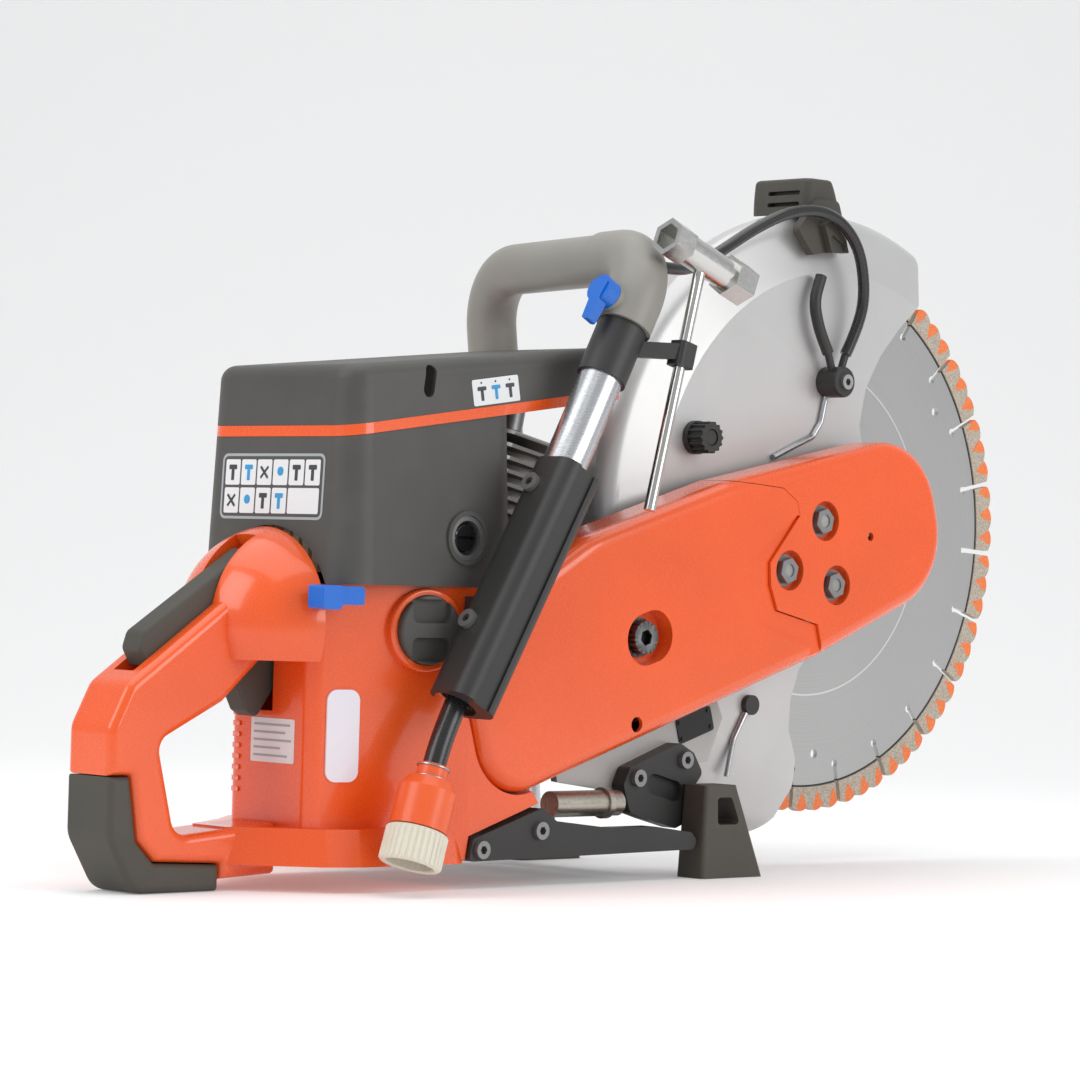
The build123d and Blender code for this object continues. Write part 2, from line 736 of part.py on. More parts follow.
# nozzle jets and the water fitting share the guard's two wet stations
with BuildPart() as guard_handle:
    with BuildSketch(level(guard_radius + arbor_z - 12)):
        with Locations((handle_x + 17, blade_y)):
            RectangleRounded(36, 46, 7)
    with BuildSketch(level(guard_radius + arbor_z + 8)):
        with Locations((handle_x + 15, blade_y)):
            RectangleRounded(32, 48, 8)
    with BuildSketch(level(handle_top)):
        with Locations((handle_x + 13, blade_y)):
            RectangleRounded(24, 48, 7)
    loft()
    fillet(guard_handle.faces().sort_by(Axis.Z)[-1].edges(), 3)
    for rib in range(4):
        with BuildSketch(Plane(origin=(handle_x - 3, blade_y - 5, handle_top - 9 - rib * 7), z_dir=(-1, 0, 0))):
            RectangleRounded(2.6, 26, 1.2)
        extrude(amount=-7, mode=Mode.SUBTRACT)
    with BuildSketch(arbor(blade_y + 60)):
        Circle(guard_radius + clear / 2)
    extrude(amount=120, mode=Mode.SUBTRACT)

with BuildPart() as guard_knob:
    with BuildSketch(side(guard_right_y)):
        with Locations(knob_place):
            Circle(10)
    extrude(amount=4)
    with BuildSketch(side(guard_right_y - 4)):
        with Locations(knob_place):
            Circle(8.5)
            with PolarLocations(8.5, 14):
                Circle(1.1)
    extrude(amount=11)
    with BuildSketch(side(guard_right_y - 15)):
        with Locations(knob_place):
            Circle(5)
    extrude(amount=-3, mode=Mode.SUBTRACT)
    with BuildSketch(side(guard_right_y - 12)):
        with Locations(knob_place):
            Circle(4.4)
    extrude(amount=2.4)

fitting_face_y = guard_right_y - 16
with BuildPart() as water_fitting:
    with BuildSketch(side(guard_right_y)):
        with Locations(fitting_place):
            Circle(9.5)
    extrude(amount=16)
    fillet(water_fitting.faces().sort_by(Axis.Y)[0].edges(), 2)
    for barb_x in (-7, 7):
        lean = Vector(barb_x * 0.45, 0, 8).normalized()
        start = Vector(fitting_place[0] + barb_x * 0.5, guard_right_y - 8, fitting_place[1] + 6)
        with BuildSketch(Plane(origin=start, z_dir=lean)):
            Circle(2.4)
        extrude(amount=12)
    with BuildSketch(side(guard_right_y)):
        with Locations(jet_place):
            Circle(6)
    extrude(amount=4)
    with BuildSketch(side(guard_left_y)):
        with Locations(fitting_place):
            Circle(9.5)
    extrude(amount=-12)

with BuildPart() as fitting_screws:
    with BuildSketch(side(fitting_face_y)):
        with Locations(fitting_place):
            Circle(4.6)
            RegularPolygon(2.3, 6, mode=Mode.SUBTRACT)
    extrude(amount=2.2)
    with BuildSketch(side(guard_left_y + 12)):
        with Locations(fitting_place):
            Circle(4.6)
    extrude(amount=-2.2)

# thin steel jets that bring water to both faces of the blade
jet_radius = 1.8
right_jet_y = guard_right_y - jet_radius - 0.1
left_jet_y = guard_left_y + jet_radius + 0.1
upper_route = [(174, 288), (170, 272), (163, 263), (145, 256), (128, 249)]
lower_route = [(110, 94), (100, 78), (95, 56)]


def jet(route, y, bend):
    """A bent tube along a route given in X and Z, beside the guard."""
    points = [(x, y, z) for x, z in route]
    path = FilletPolyline(*points, radius=bend)
    start = Plane(origin=points[0], z_dir=Vector(*points[1]) - Vector(*points[0]))
    return sweep(start * Circle(jet_radius), path=path)


jet_tubes = [jet(upper_route, right_jet_y, 5), jet(lower_route, right_jet_y, 8), jet(upper_route, left_jet_y, 5)]
with BuildPart() as water_jets:
    for tube in jet_tubes:
        add(tube)
    add(fitting_screws.part)
save(water_jets, "water_jets")

clip_outline = [(140, 388), (166, 362), (190, 363), (183, 390), (176, 408), (158, 408)]
with BuildPart() as hose_clip:
    with BuildSketch(side(blade_y - 22)):
        with BuildLine():
            FilletPolyline(*clip_outline, radius=4, close=True)
        make_face()
    extrude(amount=6)
    with BuildSketch(side(blade_y - 28)):
        with BuildLine():
            FilletPolyline((158, 393), (170, 366), (186, 366), (178, 384), (167, 395), radius=2, close=True)
        make_face()
    extrude(amount=5)
    with BuildSketch(side(blade_y - 31)):
        with BuildLine():
            FilletPolyline((163, 388), (172, 358), (184, 358), (177, 381), radius=2, close=True)
        make_face()
    extrude(amount=6, mode=Mode.SUBTRACT)
    with BuildSketch(arbor(blade_y)):
        Circle(170)
    extrude(amount=60, mode=Mode.SUBTRACT)

with BuildPart() as handle_with_clip:
    for piece in (guard_handle, hose_clip):
        add(piece.part)
save(handle_with_clip, "guard_handle")

# ---------------------------------------------------------------- tank housing and rear handle
tank_top = 166.0
tank_rear_x = -248.0
tank_side = [
    (tank_rear_x, tank_top), (tank_rear_x, 15), (-151, 16), (-149, 29), (-96, 46), (-106, 60), (-124, 74),
    (-126, 150), (-136, tank_top),
]
tank_plan = [
    (tank_rear_x, 2), (tank_rear_x, -58), (-243, -64), (-150, -84), (-86, -84), (-86, 44), (-150, tank_left_y),
    (-212, 32), (-242, 6),
]
skirt_plan = [(-287, -36), (-270, -52), (-246, -76), (-226, -84), (-150, -86), (-150, 46), (-220, 44), (-246, 22), (-287, -4)]
cap_place = (-181, 142)
with BuildPart() as tank_shell:
    with BuildSketch(side(80)):
        Polygon(*tank_side, align=None)
        fillet(vertices().sort_by(Axis.X)[:2], 8)
    extrude(amount=200)
    with BuildSketch(level(0)):
        Polygon(*tank_plan, align=None)
        fillet(vertices(), 7)
    extrude(amount=200, mode=Mode.INTERSECT)
    with BuildSketch(level(14)):
        Polygon(*skirt_plan, align=None)
        fillet(vertices(), 8)
    extrude(amount=20, taper=14)
    with BuildSketch(arm(arm_inner_y + clear)):
        add(guard_room)
    extrude(amount=50, mode=Mode.SUBTRACT)
    with BuildSketch(level(20)):
        Polygon(*tank_plan, align=None)
        offset(amount=-4)
        with Locations((-60, 0)):
            Rectangle(148, 300, mode=Mode.SUBTRACT)
        with Locations((-142, -75)):
            Rectangle(44, 50, mode=Mode.SUBTRACT)
    extrude(amount=tank_top - 24, mode=Mode.SUBTRACT)
    with BuildSketch(level(96)):
        with Locations((tank_rear_x + 8, handle_y)):
            Rectangle(36, 22)
    extrude(amount=42, mode=Mode.SUBTRACT)

window_angle = degrees(atan2(20, 93))
window_plane = Plane(origin=(-229, -67.02, 84), x_dir=(cos(radians(window_angle)), -sin(radians(window_angle)), 0),
                     z_dir=(-sin(radians(window_angle)), -cos(radians(window_angle)), 0))
with BuildPart() as fuel_window:
    with BuildSketch(window_plane):
        RectangleRounded(20, 50, 6)
    extrude(amount=1.2)
save(fuel_window, "fuel_window")

cap_plane = Plane(origin=(cap_place[0], -77.3, cap_place[1]), x_dir=window_plane.x_dir, z_dir=window_plane.z_dir)
cap_radius = 19.0
with BuildPart() as filler_neck:
    with BuildSketch(cap_plane):
        Circle(23)
    extrude(amount=5)
    fillet(filler_neck.edges().filter_by(GeomType.CIRCLE).sort_by(Axis.Y)[0], 2)
    with BuildSketch(cap_plane):
        Circle(cap_radius + clear)
    extrude(amount=5, mode=Mode.SUBTRACT)

with BuildPart() as tank_housing:
    for piece in (tank_shell, filler_neck):
        add(piece.part)
save(tank_housing, "tank_housing")

with BuildPart() as fuel_cap:
    with BuildSketch(cap_plane.offset(0.3)):
        Circle(cap_radius)
    extrude(amount=9)
    fillet(fuel_cap.faces().sort_by(Axis.Y)[0].edges(), 2)
    with BuildSketch(cap_plane.offset(5)):
        with Locations((0, 10.5), (0, -10.5)):
            RectangleRounded(24, 13, 4)
    extrude(amount=6, mode=Mode.SUBTRACT)
save(fuel_cap, "fuel_cap")

# rear handle: a C whose open side is closed by the tank's rear wall
handle_right_y = handle_y - handle_width / 2
handle_outer = [
    (tank_rear_x - 0.2, 184), (-272, 166), (-352, 111), (-364, 88), (-364, 62.5), (-349.5, 62.5), (-344, 28),
    (-332, 16.5), (-287.5, 14.5), (-287.5, 6), (tank_rear_x - 0.2, 8),
]
handle_inner = [(tank_rear_x - 0.2, 36), (-318, 30), (-331, 80), (-288, 101), (-262, 124), (tank_rear_x - 0.2, 130)]
handle_rounds = [2, 12, 14, 14, 0.6, 0.6, 4, 4, 0.6, 0.6, 2, 2, 10, 9, 10, 8, 2]
trigger_pivot = (-253, 127)
trigger_width = 15.0
dome_radius = 54.0
dome_x = -238.0
dome_z = 143.0
lever_room = [(-251, 174), (-262, 192), (-348, 142), (-342, 114), (-330, 112), (-256, 162)]
with BuildPart() as handle_loop:
    with BuildSketch(side(handle_y + handle_width / 2)):
        with BuildLine():
            FilletPolyline(*handle_outer, *handle_inner, radius=handle_rounds, close=True)
        make_face()
    extrude(amount=handle_width)
    sides = handle_loop.faces().filter_by(Axis.Y).edges().filter_by(lambda e: (e @ 0.5).X < tank_rear_x - 2)
    soft = sides.filter_by(lambda e: (e @ 0.5).Z > 64 or (e @ 0.5).X > -343 and (e @ 0.5).Z > 20)
    fillet(soft, 5)

dome_floor = 124.0
with BuildPart() as rear_handle:
    with Locations((dome_x, handle_y, dome_z)):
        Sphere(dome_radius)
    with Locations((dome_x, handle_y, dome_floor - dome_radius)):
        Box(3 * dome_radius, 3 * dome_radius, 2 * dome_radius, mode=Mode.SUBTRACT)
    add(handle_loop.part)
    with Locations((tank_rear_x + 100 - 0.2, 0, 100)):
        Box(200, 300, 300, mode=Mode.SUBTRACT)
    add(tank_shell.part, mode=Mode.SUBTRACT)
    with BuildSketch(side(handle_y + 8.5)):
        with Locations((-260.5, 119)):
            Rectangle(39, 40)
        Polygon(*lever_room, align=None)
    extrude(amount=17, mode=Mode.SUBTRACT)
    with BuildSketch(side(handle_y + 11)):
        with Locations(trigger_pivot):
            Circle(2)
    extrude(amount=22)
save(rear_handle, "rear_handle")

pad_outline = [(-364, 62), (-364, 30), (-346, 0), (-288, 0), (-288, 14), (-332.3, 16), (-344.5, 28), (-350, 62)]
pad_rounds = [0.5, 16, 14, 1, 0.5, 4, 4, 0.5]
with BuildPart() as handle_pad:
    with BuildSketch(side(handle_y + handle_width / 2)):
        with BuildLine():
            FilletPolyline(*pad_outline, radius=pad_rounds, close=True)
        make_face()
    extrude(amount=handle_width)
    fillet(handle_pad.faces().filter_by(Axis.Y).edges().filter_by(lambda e: (e @ 0.5).X < -358), 4)
save(handle_pad, "handle_pad")

# ---------------------------------------------------------------- controls on the rear handle
with BuildPart() as throttle_trigger:
    with BuildSketch(side(handle_y + trigger_width / 2)):
        with BuildLine():
            FilletPolyline((-240, 132), (-236, 124), (-241, 112), (-256, 92), (-263, 96), (-272, 113), (-262, 127),
                           radius=[3, 3, 12, 3, 3, 4, 4], close=True)
        make_face()
    extrude(amount=trigger_width)
    fillet(throttle_trigger.faces().filter_by(Axis.Y).edges(), 1.5)
    with BuildSketch(side(handle_y + 20)):
        with Locations(trigger_pivot):
            Circle(2 + running)
    extrude(amount=40, mode=Mode.SUBTRACT)
save(throttle_trigger, "throttle_trigger")

lockout_pivot = (-262, 163)
with BuildPart() as throttle_lockout:
    with BuildSketch(side(handle_y + 8)):
        with BuildLine():
            FilletPolyline((-257, 175), (-262, 186), (-336, 138), (-339, 129), (-333, 119), (-258, 168.5),
                           radius=[1, 5, 6, 5, 1.5, 0.5], close=True)
        make_face()
    extrude(amount=16)
    fillet(throttle_lockout.faces().filter_by(Axis.Y).edges(), 2)
save(throttle_lockout, "throttle_lockout")

choke_x = -243.0
choke_z = 160.0
choke_y = -74.5
with BuildPart() as choke_lever:
    with BuildSketch(side(choke_y)):
        with Locations((choke_x, choke_z)):
            RectangleRounded(26, 10, 2)
    extrude(amount=9)
    with BuildSketch(side(choke_y)):
        with Locations((choke_x - 13, choke_z - 1)):
            RectangleRounded(13, 13, 2)
    extrude(amount=13)
save(choke_lever, "choke_lever")

with BuildPart() as stop_switch:
    with BuildSketch(side(handle_y + handle_width / 2 + 0.4)):
        with Locations((-301, 120)):
            RectangleRounded(16, 9, 2)
    extrude(amount=-5)
    fillet(stop_switch.faces().sort_by(Axis.Y)[-1].edges(), 1)
save(stop_switch, "stop_switch")

# ---------------------------------------------------------------- air filter housing and cylinder cover
strip_base = 244.7
cover_wall = 2.5
cover_front_x = -24.0
housing_front_x = -114.0
cover_top_rear = 285.0
cover_top_front = 306.0


def strip_z(x):
    """Height of the strip's lower edge at x."""
    return strip_base + (x - cover_rear_x) * tan(radians(strip_slope))


def cover_box(shrink, front_x):
    """Rounded block of the cover and the filter housing, drawn inwards by shrink."""
    s = shrink
    with BuildPart() as block:
        with BuildSketch(Plane.XY.offset(tank_top)):
            with BuildLine():
                FilletPolyline((cover_rear_x + s, cover_right_y + s), (front_x - s, cover_right_y + 3 + s),
                               (front_x - s, cover_left_y - 3 - s), (cover_rear_x + s, cover_left_y - s),
                               radius=[20 - s, 16 - s, 16 - s, 22 - s], close=True)
            make_face()
        extrude(amount=180, taper=2.6)
        with BuildSketch(side(200)):
            with BuildLine():
                FilletPolyline((cover_rear_x - 60, cover_top_rear - 9 - s), (cover_rear_x + 2, cover_top_rear - s - 1),
                               (cover_front_x - 6, cover_top_front - s), (cover_front_x + 60, cover_top_front - 20 - s),
                               (cover_front_x + 60, 480), (cover_rear_x - 60, 480),
                               radius=[1, 30, 26, 1, 1, 1], close=True)
            make_face()
        extrude(amount=400, mode=Mode.SUBTRACT)
    return block.part


def strip_cut(low, high):
    """Slab between two heights above the strip's lower edge, wide enough for the cover."""
    a = radians(strip_slope)
    plane = Plane(origin=(cover_rear_x, 0, strip_base), x_dir=(cos(a), 0, sin(a)), z_dir=(-sin(a), 0, cos(a)))
    return extrude(plane.offset(low) * Rectangle(900, 500), high - low)


cover_skin = cover_box(0, cover_front_x)
top_edges = cover_skin.edges().filter_by(lambda e: (e @ 0.5).Z > 262)
cover_skin = fillet(top_edges.filter_by(lambda e: abs((e @ 0.5).Z - (e @ 0).Z) < 25 and e.length > 6), 9)
cover_hollow = cover_box(cover_wall, cover_front_x)
housing_skin = cover_box(0, housing_front_x)
housing_hollow = cover_box(cover_wall, housing_front_x)

below_cover = strip_cut(-300, strip_height)
below_strip = strip_cut(-300, 0.1)
above_strip = strip_cut(strip_height - 0.1, 300)
above_housing = strip_cut(-0.1, 300)

with BuildPart() as cylinder_cover:
    add(cover_skin)
    add(cover_hollow, mode=Mode.SUBTRACT)
    add(below_cover, mode=Mode.SUBTRACT)
    with BuildSketch(side(cover_right_y + 16)):
        with Locations((-184, 278)):
            SlotOverall(18, 8, rotation=80)
    extrude(amount=40, mode=Mode.SUBTRACT)
save(cylinder_cover, "cylinder_cover")

with BuildPart() as cover_strip:
    add(cover_skin)
    add(cover_hollow, mode=Mode.SUBTRACT)
    add(below_strip, mode=Mode.SUBTRACT)
    add(above_strip, mode=Mode.SUBTRACT)
save(cover_strip, "cover_strip")

screw_place = (-156, 193)
screw_well_y = cover_right_y + 9
with BuildPart() as filter_housing:
    add(housing_skin)
    add(housing_hollow, mode=Mode.SUBTRACT)
    add(above_housing, mode=Mode.SUBTRACT)
    with Locations((dome_x, handle_y, dome_z)):
        Sphere(dome_radius + clear, mode=Mode.SUBTRACT)
    with BuildSketch(side(cover_right_y + 14)):
        with Locations(screw_place):
            Circle(15)
    extrude(amount=12.6)
    with BuildSketch(side(screw_well_y)):
        with Locations(screw_place):
            Circle(12.4)
    extrude(amount=20, mode=Mode.SUBTRACT)
    with BuildSketch(Plane(origin=(housing_front_x - 20, engine_y, 196), z_dir=(1, 0, 0))):
        Circle(13.5)
    extrude(amount=40, mode=Mode.SUBTRACT)
    with BuildSketch(arm(guard_root_y + 2)):
        add(guard_room)
    extrude(amount=50, mode=Mode.SUBTRACT)
save(filter_housing, "filter_housing")

with BuildPart() as recess_ring:
    with BuildSketch(side(screw_well_y)):
        with Locations(screw_place):
            Circle(12.3)
            Circle(9.6, mode=Mode.SUBTRACT)
    extrude(amount=6.6)

with BuildPart() as cover_screw:
    with BuildSketch(side(screw_well_y)):
        with Locations(screw_place):
            Circle(8)
    extrude(amount=5)
    fillet(cover_screw.faces().sort_by(Axis.Y)[0].edges(), 1.2)
    with BuildSketch(side(screw_well_y - 5)):
        with Locations(screw_place):
            Rectangle(12, 1.8)
    extrude(amount=-2, mode=Mode.SUBTRACT)

with BuildPart() as ringed_screw:
    for piece in (cover_screw, recess_ring):
        add(piece.part)
save(ringed_screw, "cover_screw")

filter_size = (76, 96, 56)
with BuildPart() as air_filter:
    with BuildSketch(level(tank_top + 6)):
        with Locations((-196, -18)):
            RectangleRounded(filter_size[0], filter_size[1], 8)
            with GridLocations(filter_size[0], 8, 2, 11):
                Rectangle(6, 3, mode=Mode.SUBTRACT)
    extrude(amount=filter_size[2])
save(air_filter, "air_filter")

with BuildPart() as carburettor:
    with Locations((-137, engine_y, 196)):
        Box(30, 40, 36)
    with BuildSketch(Plane(origin=(-122, engine_y, 196), z_dir=(1, 0, 0))):
        Circle(13)
    extrude(amount=14)
    with BuildSketch(Plane(origin=(-157, engine_y, 196), z_dir=(1, 0, 0))):
        Circle(14)
    extrude(amount=6)
    with BuildSketch(Plane(origin=(-158, engine_y, 196), z_dir=(1, 0, 0))):
        Circle(8)
    extrude(amount=60, mode=Mode.SUBTRACT)
save(carburettor, "carburettor")

# ---------------------------------------------------------------- front handle
leg_y = -103.0
left_leg_y = 76.0
foot_end = (-178, leg_y, 106)
knee = (-96, leg_y, 246)
right_elbow = (-37, leg_y, 357)
left_elbow = (4, left_leg_y, 356)
left_foot_end = (46, left_leg_y, 24)
handle_route = [foot_end, knee, right_elbow, left_elbow, left_foot_end]


def along(start, end, distance):
    """Point on the line from start at a distance towards end."""
    return tuple(Vector(*start) + (Vector(*end) - Vector(*start)).normalized() * distance)


def bar(route, bend, radius):
    """Solid round bar along a route; a route of two points is straight."""
    path = FilletPolyline(*route, radius=bend) if len(route) > 2 else Polyline(*route)
    start = Plane(origin=route[0], z_dir=Vector(*route[1]) - Vector(*route[0]))
    return sweep(start * Circle(radius), path=path)


def sleeve(route, bend, outer, inner):
    """Tube along a route."""
    path = FilletPolyline(*route, radius=bend) if len(route) > 2 else Polyline(*route)
    start = Plane(origin=route[0], z_dir=Vector(*route[1]) - Vector(*route[0]))
    section = start * (Circle(outer) - Circle(inner))
    return sweep(section, path=path)


knee_radius = 220.0
frame_tube = sleeve(handle_route, [knee_radius, elbow_radius, elbow_radius], tube_radius, tube_radius - tube_wall)
with BuildPart() as front_handle_tube:
    add(frame_tube)
save(front_handle_tube, "front_handle_tube")

grip_start = along(right_elbow, left_elbow, elbow_radius + 14)
grip_end = along(left_elbow, left_foot_end, 120)
grip_tube = sleeve([grip_start, left_elbow, grip_end], elbow_radius, tube_radius + grip_wall, tube_radius)
with BuildPart() as handle_grip:
    add(grip_tube)
save(handle_grip, "handle_grip")

elbow_start = along(right_elbow, knee, 48)
elbow_end = along(right_elbow, left_elbow, elbow_radius + 14)
elbow_route = [elbow_start, right_elbow, elbow_end]
elbow_body = bar(elbow_route, elbow_radius, tube_radius + 4)
elbow_core = bar(elbow_route, elbow_radius, tube_radius)
leg_up = (Vector(*right_elbow) - Vector(*knee)).normalized()
tap_direction = Vector(-leg_up.Z, 0, leg_up.X)
tap_root = Vector(*along(right_elbow, knee, 38.5))
tap_plane = Plane(origin=tap_root + tap_direction * 18, x_dir=-leg_up, z_dir=tap_direction)
stub_root = Vector(*along(right_elbow, left_elbow, 29.3))
stub_direction = Vector(0.966, -0.213, -0.145).normalized()
with BuildPart() as handle_elbow:
    add(elbow_body)
    with BuildSketch(tap_plane):
        Circle(8.5)
    extrude(amount=-18)
    with BuildSketch(Plane(origin=stub_root, z_dir=stub_direction)):
        Circle(5)
    extrude(amount=22.7)
    add(elbow_core, mode=Mode.SUBTRACT)
save(handle_elbow, "handle_elbow")

collar_start = along(right_elbow, knee, 82)
collar_tube = sleeve([collar_start, elbow_start], 1, tube_radius + 1.8, tube_radius)
with BuildPart() as handle_collar:
    add(collar_tube)

with BuildPart() as tap_knob:
    with BuildSketch(tap_plane.offset(0.3)):
        Circle(8.5)
    extrude(amount=9)
    with BuildSketch(tap_plane.offset(3.3)):
        with BuildLine():
            FilletPolyline((-4, 6), (-6, -4), (20, -3), (21, 2), radius=[1, 1, 1.5, 1.5], close=True)
        make_face()
    extrude(amount=7)
    with BuildSketch(tap_plane.offset(9.3)):
        Circle(5)
    extrude(amount=-3, mode=Mode.SUBTRACT)
save(tap_knob, "tap_knob")

# dark hose guard clipped along the lower right leg, and the leg's foot bolt
guard_low = along(foot_end, knee, -4)
guard_high = along(foot_end, knee, 150)
leg_direction = (Vector(*knee) - Vector(*foot_end)).normalized()
leg_core = bar([foot_end, knee], 1, tube_radius + 0.02)
leg_plane = Plane(origin=guard_low, x_dir=(0, -1, 0), z_dir=leg_direction)
with BuildPart() as hose_guard:
    with BuildSketch(leg_plane):
        with Locations((5.5, 0)):
            RectangleRounded(32, tube_radius * 2 + 6, 9)
        Circle(tube_radius + 0.02, mode=Mode.SUBTRACT)
        with Locations((21.5, 0)):
            Rectangle(3, 12, mode=Mode.SUBTRACT)
    extrude(amount=150)
    with Locations((-151, leg_y + 15.5, 155)):
        Box(12, 7, 12)
    add(leg_core, mode=Mode.SUBTRACT)

with BuildPart() as leg_guards:
    for piece in (hose_guard, handle_collar):
        add(piece.part)
save(leg_guards, "hose_guard")

with BuildPart() as leg_bolts:
    for distance in (40, 128):
        spot = along(foot_end, knee, distance)
        outward = Vector(0.82 * leg_direction.Z * -1, 0, leg_direction.X * 0.82)
        with BuildSketch(Plane(origin=Vector(*spot) + outward.normalized() * (tube_radius + 3.05), z_dir=outward)):
            Circle(5.5)
            RegularPolygon(2.6, 6, mode=Mode.SUBTRACT)
        extrude(amount=3)

# combination wrench in its holder on the right leg
wrench_y = -119.0
wrench_tilt = -20.5
with BuildPart() as wrench:
    a = radians(wrench_tilt)
    head = Plane(origin=(-42, wrench_y, 367), z_dir=(cos(a), 0, sin(a)))
    with BuildSketch(head):
        RegularPolygon(11.5, 6)
    extrude(amount=14)
    with BuildSketch(head.offset(14)):
        Circle(9)
    extrude(amount=38)
    with BuildSketch(head.offset(52)):
        RegularPolygon(12.5, 6)
    extrude(amount=16)
    with BuildSketch(head):
        RegularPolygon(8, 6)
    extrude(amount=12, mode=Mode.SUBTRACT)
    with BuildSketch(head.offset(56)):
        RegularPolygon(9.5, 6)
    extrude(amount=14, mode=Mode.SUBTRACT)
    rod_start = Vector(-14, wrench_y, 352)
    rod_end = Vector(-50, wrench_y, 212)
    with BuildSketch(Plane(origin=rod_start, z_dir=rod_end - rod_start)):
        Circle(3.4)
    extrude(amount=(rod_end - rod_start).length)
save(wrench, "wrench")

collar_core = bar([collar_start, elbow_start], 1, tube_radius + 1.85)
with BuildPart() as wrench_holder:
    rod_plane = Plane(origin=rod_start + (rod_end - rod_start).normalized() * 46, x_dir=(0, 1, 0),
                      z_dir=rod_end - rod_start)
    with BuildSketch(rod_plane):
        RectangleRounded(12, 13, 3)
    extrude(amount=14)
    with BuildSketch(level(298)):
        Polygon((-28, -124), (-28, -114), (-56, -101), (-62, -110), align=None)
    extrude(amount=9)
    add(collar_core, mode=Mode.SUBTRACT)
    with BuildSketch(rod_plane.offset(-5)):
        Circle(3.4 + 0.3)
    extrude(amount=40, mode=Mode.SUBTRACT)
save(wrench_holder, "wrench_holder")

# ---------------------------------------------------------------- recoil starter on the left side
starter_depth = 46.0
starter_wall = 2.5
starter_root_y = starter_face_y - starter_depth - 26
with BuildPart() as starter_housing:
    with BuildSketch(crank(starter_face_y)):
        Circle(starter_radius - 10)
    with BuildSketch(crank(starter_face_y - 14)):
        Circle(starter_radius)
    loft()
    with BuildSketch(crank(starter_face_y - 14)):
        Circle(starter_radius)
    extrude(amount=starter_face_y - 14 - starter_root_y)
    with BuildSketch(crank(starter_face_y - starter_wall)):
        Circle(starter_radius - 12)
    with BuildSketch(crank(starter_face_y - 15)):
        Circle(starter_radius - starter_wall)
    loft(mode=Mode.SUBTRACT)
    with BuildSketch(crank(starter_face_y - 15)):
        Circle(starter_radius - starter_wall)
    extrude(amount=60, mode=Mode.SUBTRACT)
    with BuildSketch(crank(starter_face_y)):
        for ring in range(4):
            with PolarLocations(22 + ring * 10, 12, start_angle=15 * (ring % 2)):
                SlotOverall(8, 3.4)
    extrude(amount=5, mode=Mode.SUBTRACT)
    with BuildSketch(crank(starter_face_y - 1)):
        Circle(6)
    extrude(amount=28)
    with BuildSketch(Plane(origin=(crank_x, starter_face_y - 30, crank_z + 40))):
        Circle(5)
    extrude(amount=60, mode=Mode.SUBTRACT)
save(starter_housing, "starter_housing")

pulley_y = starter_face_y - 24
rope_radius = 1.9
with BuildPart() as starter_pulley:
    with BuildSketch(crank(pulley_y)):
        Circle(28)
        Circle(6 + running, mode=Mode.SUBTRACT)
    extrude(amount=9)
    with BuildSketch(crank(pulley_y - 2)):
        Circle(29)
        Circle(22, mode=Mode.SUBTRACT)
    extrude(amount=5, mode=Mode.SUBTRACT)
save(starter_pulley, "starter_pulley")

with BuildPart() as recoil_spring:
    with BuildSketch(crank(pulley_y + 9)):
        for turn in range(5):
            Circle(14 + turn * 3)
            Circle(13 + turn * 3, mode=Mode.SUBTRACT)
    extrude(amount=7)
save(recoil_spring, "recoil_spring")

exit_angle = radians(90)
mouth = (crank_x + (starter_radius + 2) * cos(exit_angle), starter_face_y - 30, crank_z + (starter_radius + 2) * sin(exit_angle))
pull_direction = Vector(cos(exit_angle), 0, sin(exit_angle))
mouth_plane = Plane(origin=mouth, x_dir=(0, 1, 0), z_dir=pull_direction)
with BuildPart() as starter_handle:
    with BuildSketch(mouth_plane):
        RectangleRounded(12, 12, 4)
    extrude(amount=12)
    with BuildSketch(mouth_plane.offset(12)):
        RectangleRounded(50, 15, 6)
    extrude(amount=13)
save(starter_handle, "starter_handle")

# ---------------------------------------------------------------- underside: muffler, brackets and feet
with BuildPart() as muffler:
    with BuildSketch(side(44)):
        with BuildLine():
            FilletPolyline((-26, 60), (12, 60), (12, 92), (-10, 104), (-26, 104), radius=7, close=True)
        make_face()
    extrude(amount=80)
    fillet(muffler.faces().filter_by(Axis.Y).edges(), 4)

pipe_y = -68.5
pipe_z = 44.0
with BuildPart() as exhaust_pipe:
    with BuildSketch(Plane(origin=(-72, pipe_y, pipe_z), z_dir=(1, 0, 0))):
        Circle(7.5)
    extrude(amount=54)
    with BuildSketch(Plane(origin=(-31, pipe_y, pipe_z), z_dir=(1, 0, 0))):
        Circle(9)
    extrude(amount=4)

with BuildPart() as exhaust:
    for piece in (muffler, exhaust_pipe):
        add(piece.part)
save(exhaust, "muffler")

bracket_outline = [(-151, 15), (-148, 27.4), (-95, 43.6), (-84, 36), (-40, 31), (-4, 31), (26, 27), (31, 22), (28, 17)]
with BuildPart() as support_bracket:
    with BuildSketch(side(-76)):
        with BuildLine():
            FilletPolyline(*bracket_outline, radius=3, close=True)
        make_face()
    extrude(amount=11)
    with BuildSketch(side(62)):
        with BuildLine():
            FilletPolyline((-110, 12), (-110, 20), (28, 20), (28, 12), radius=2, close=True)
        make_face()
    extrude(amount=10)
    for beam_x in (-74, -20, 14):
        with Locations((beam_x, -7, 19.5)):
            Box(20, 144, 5)

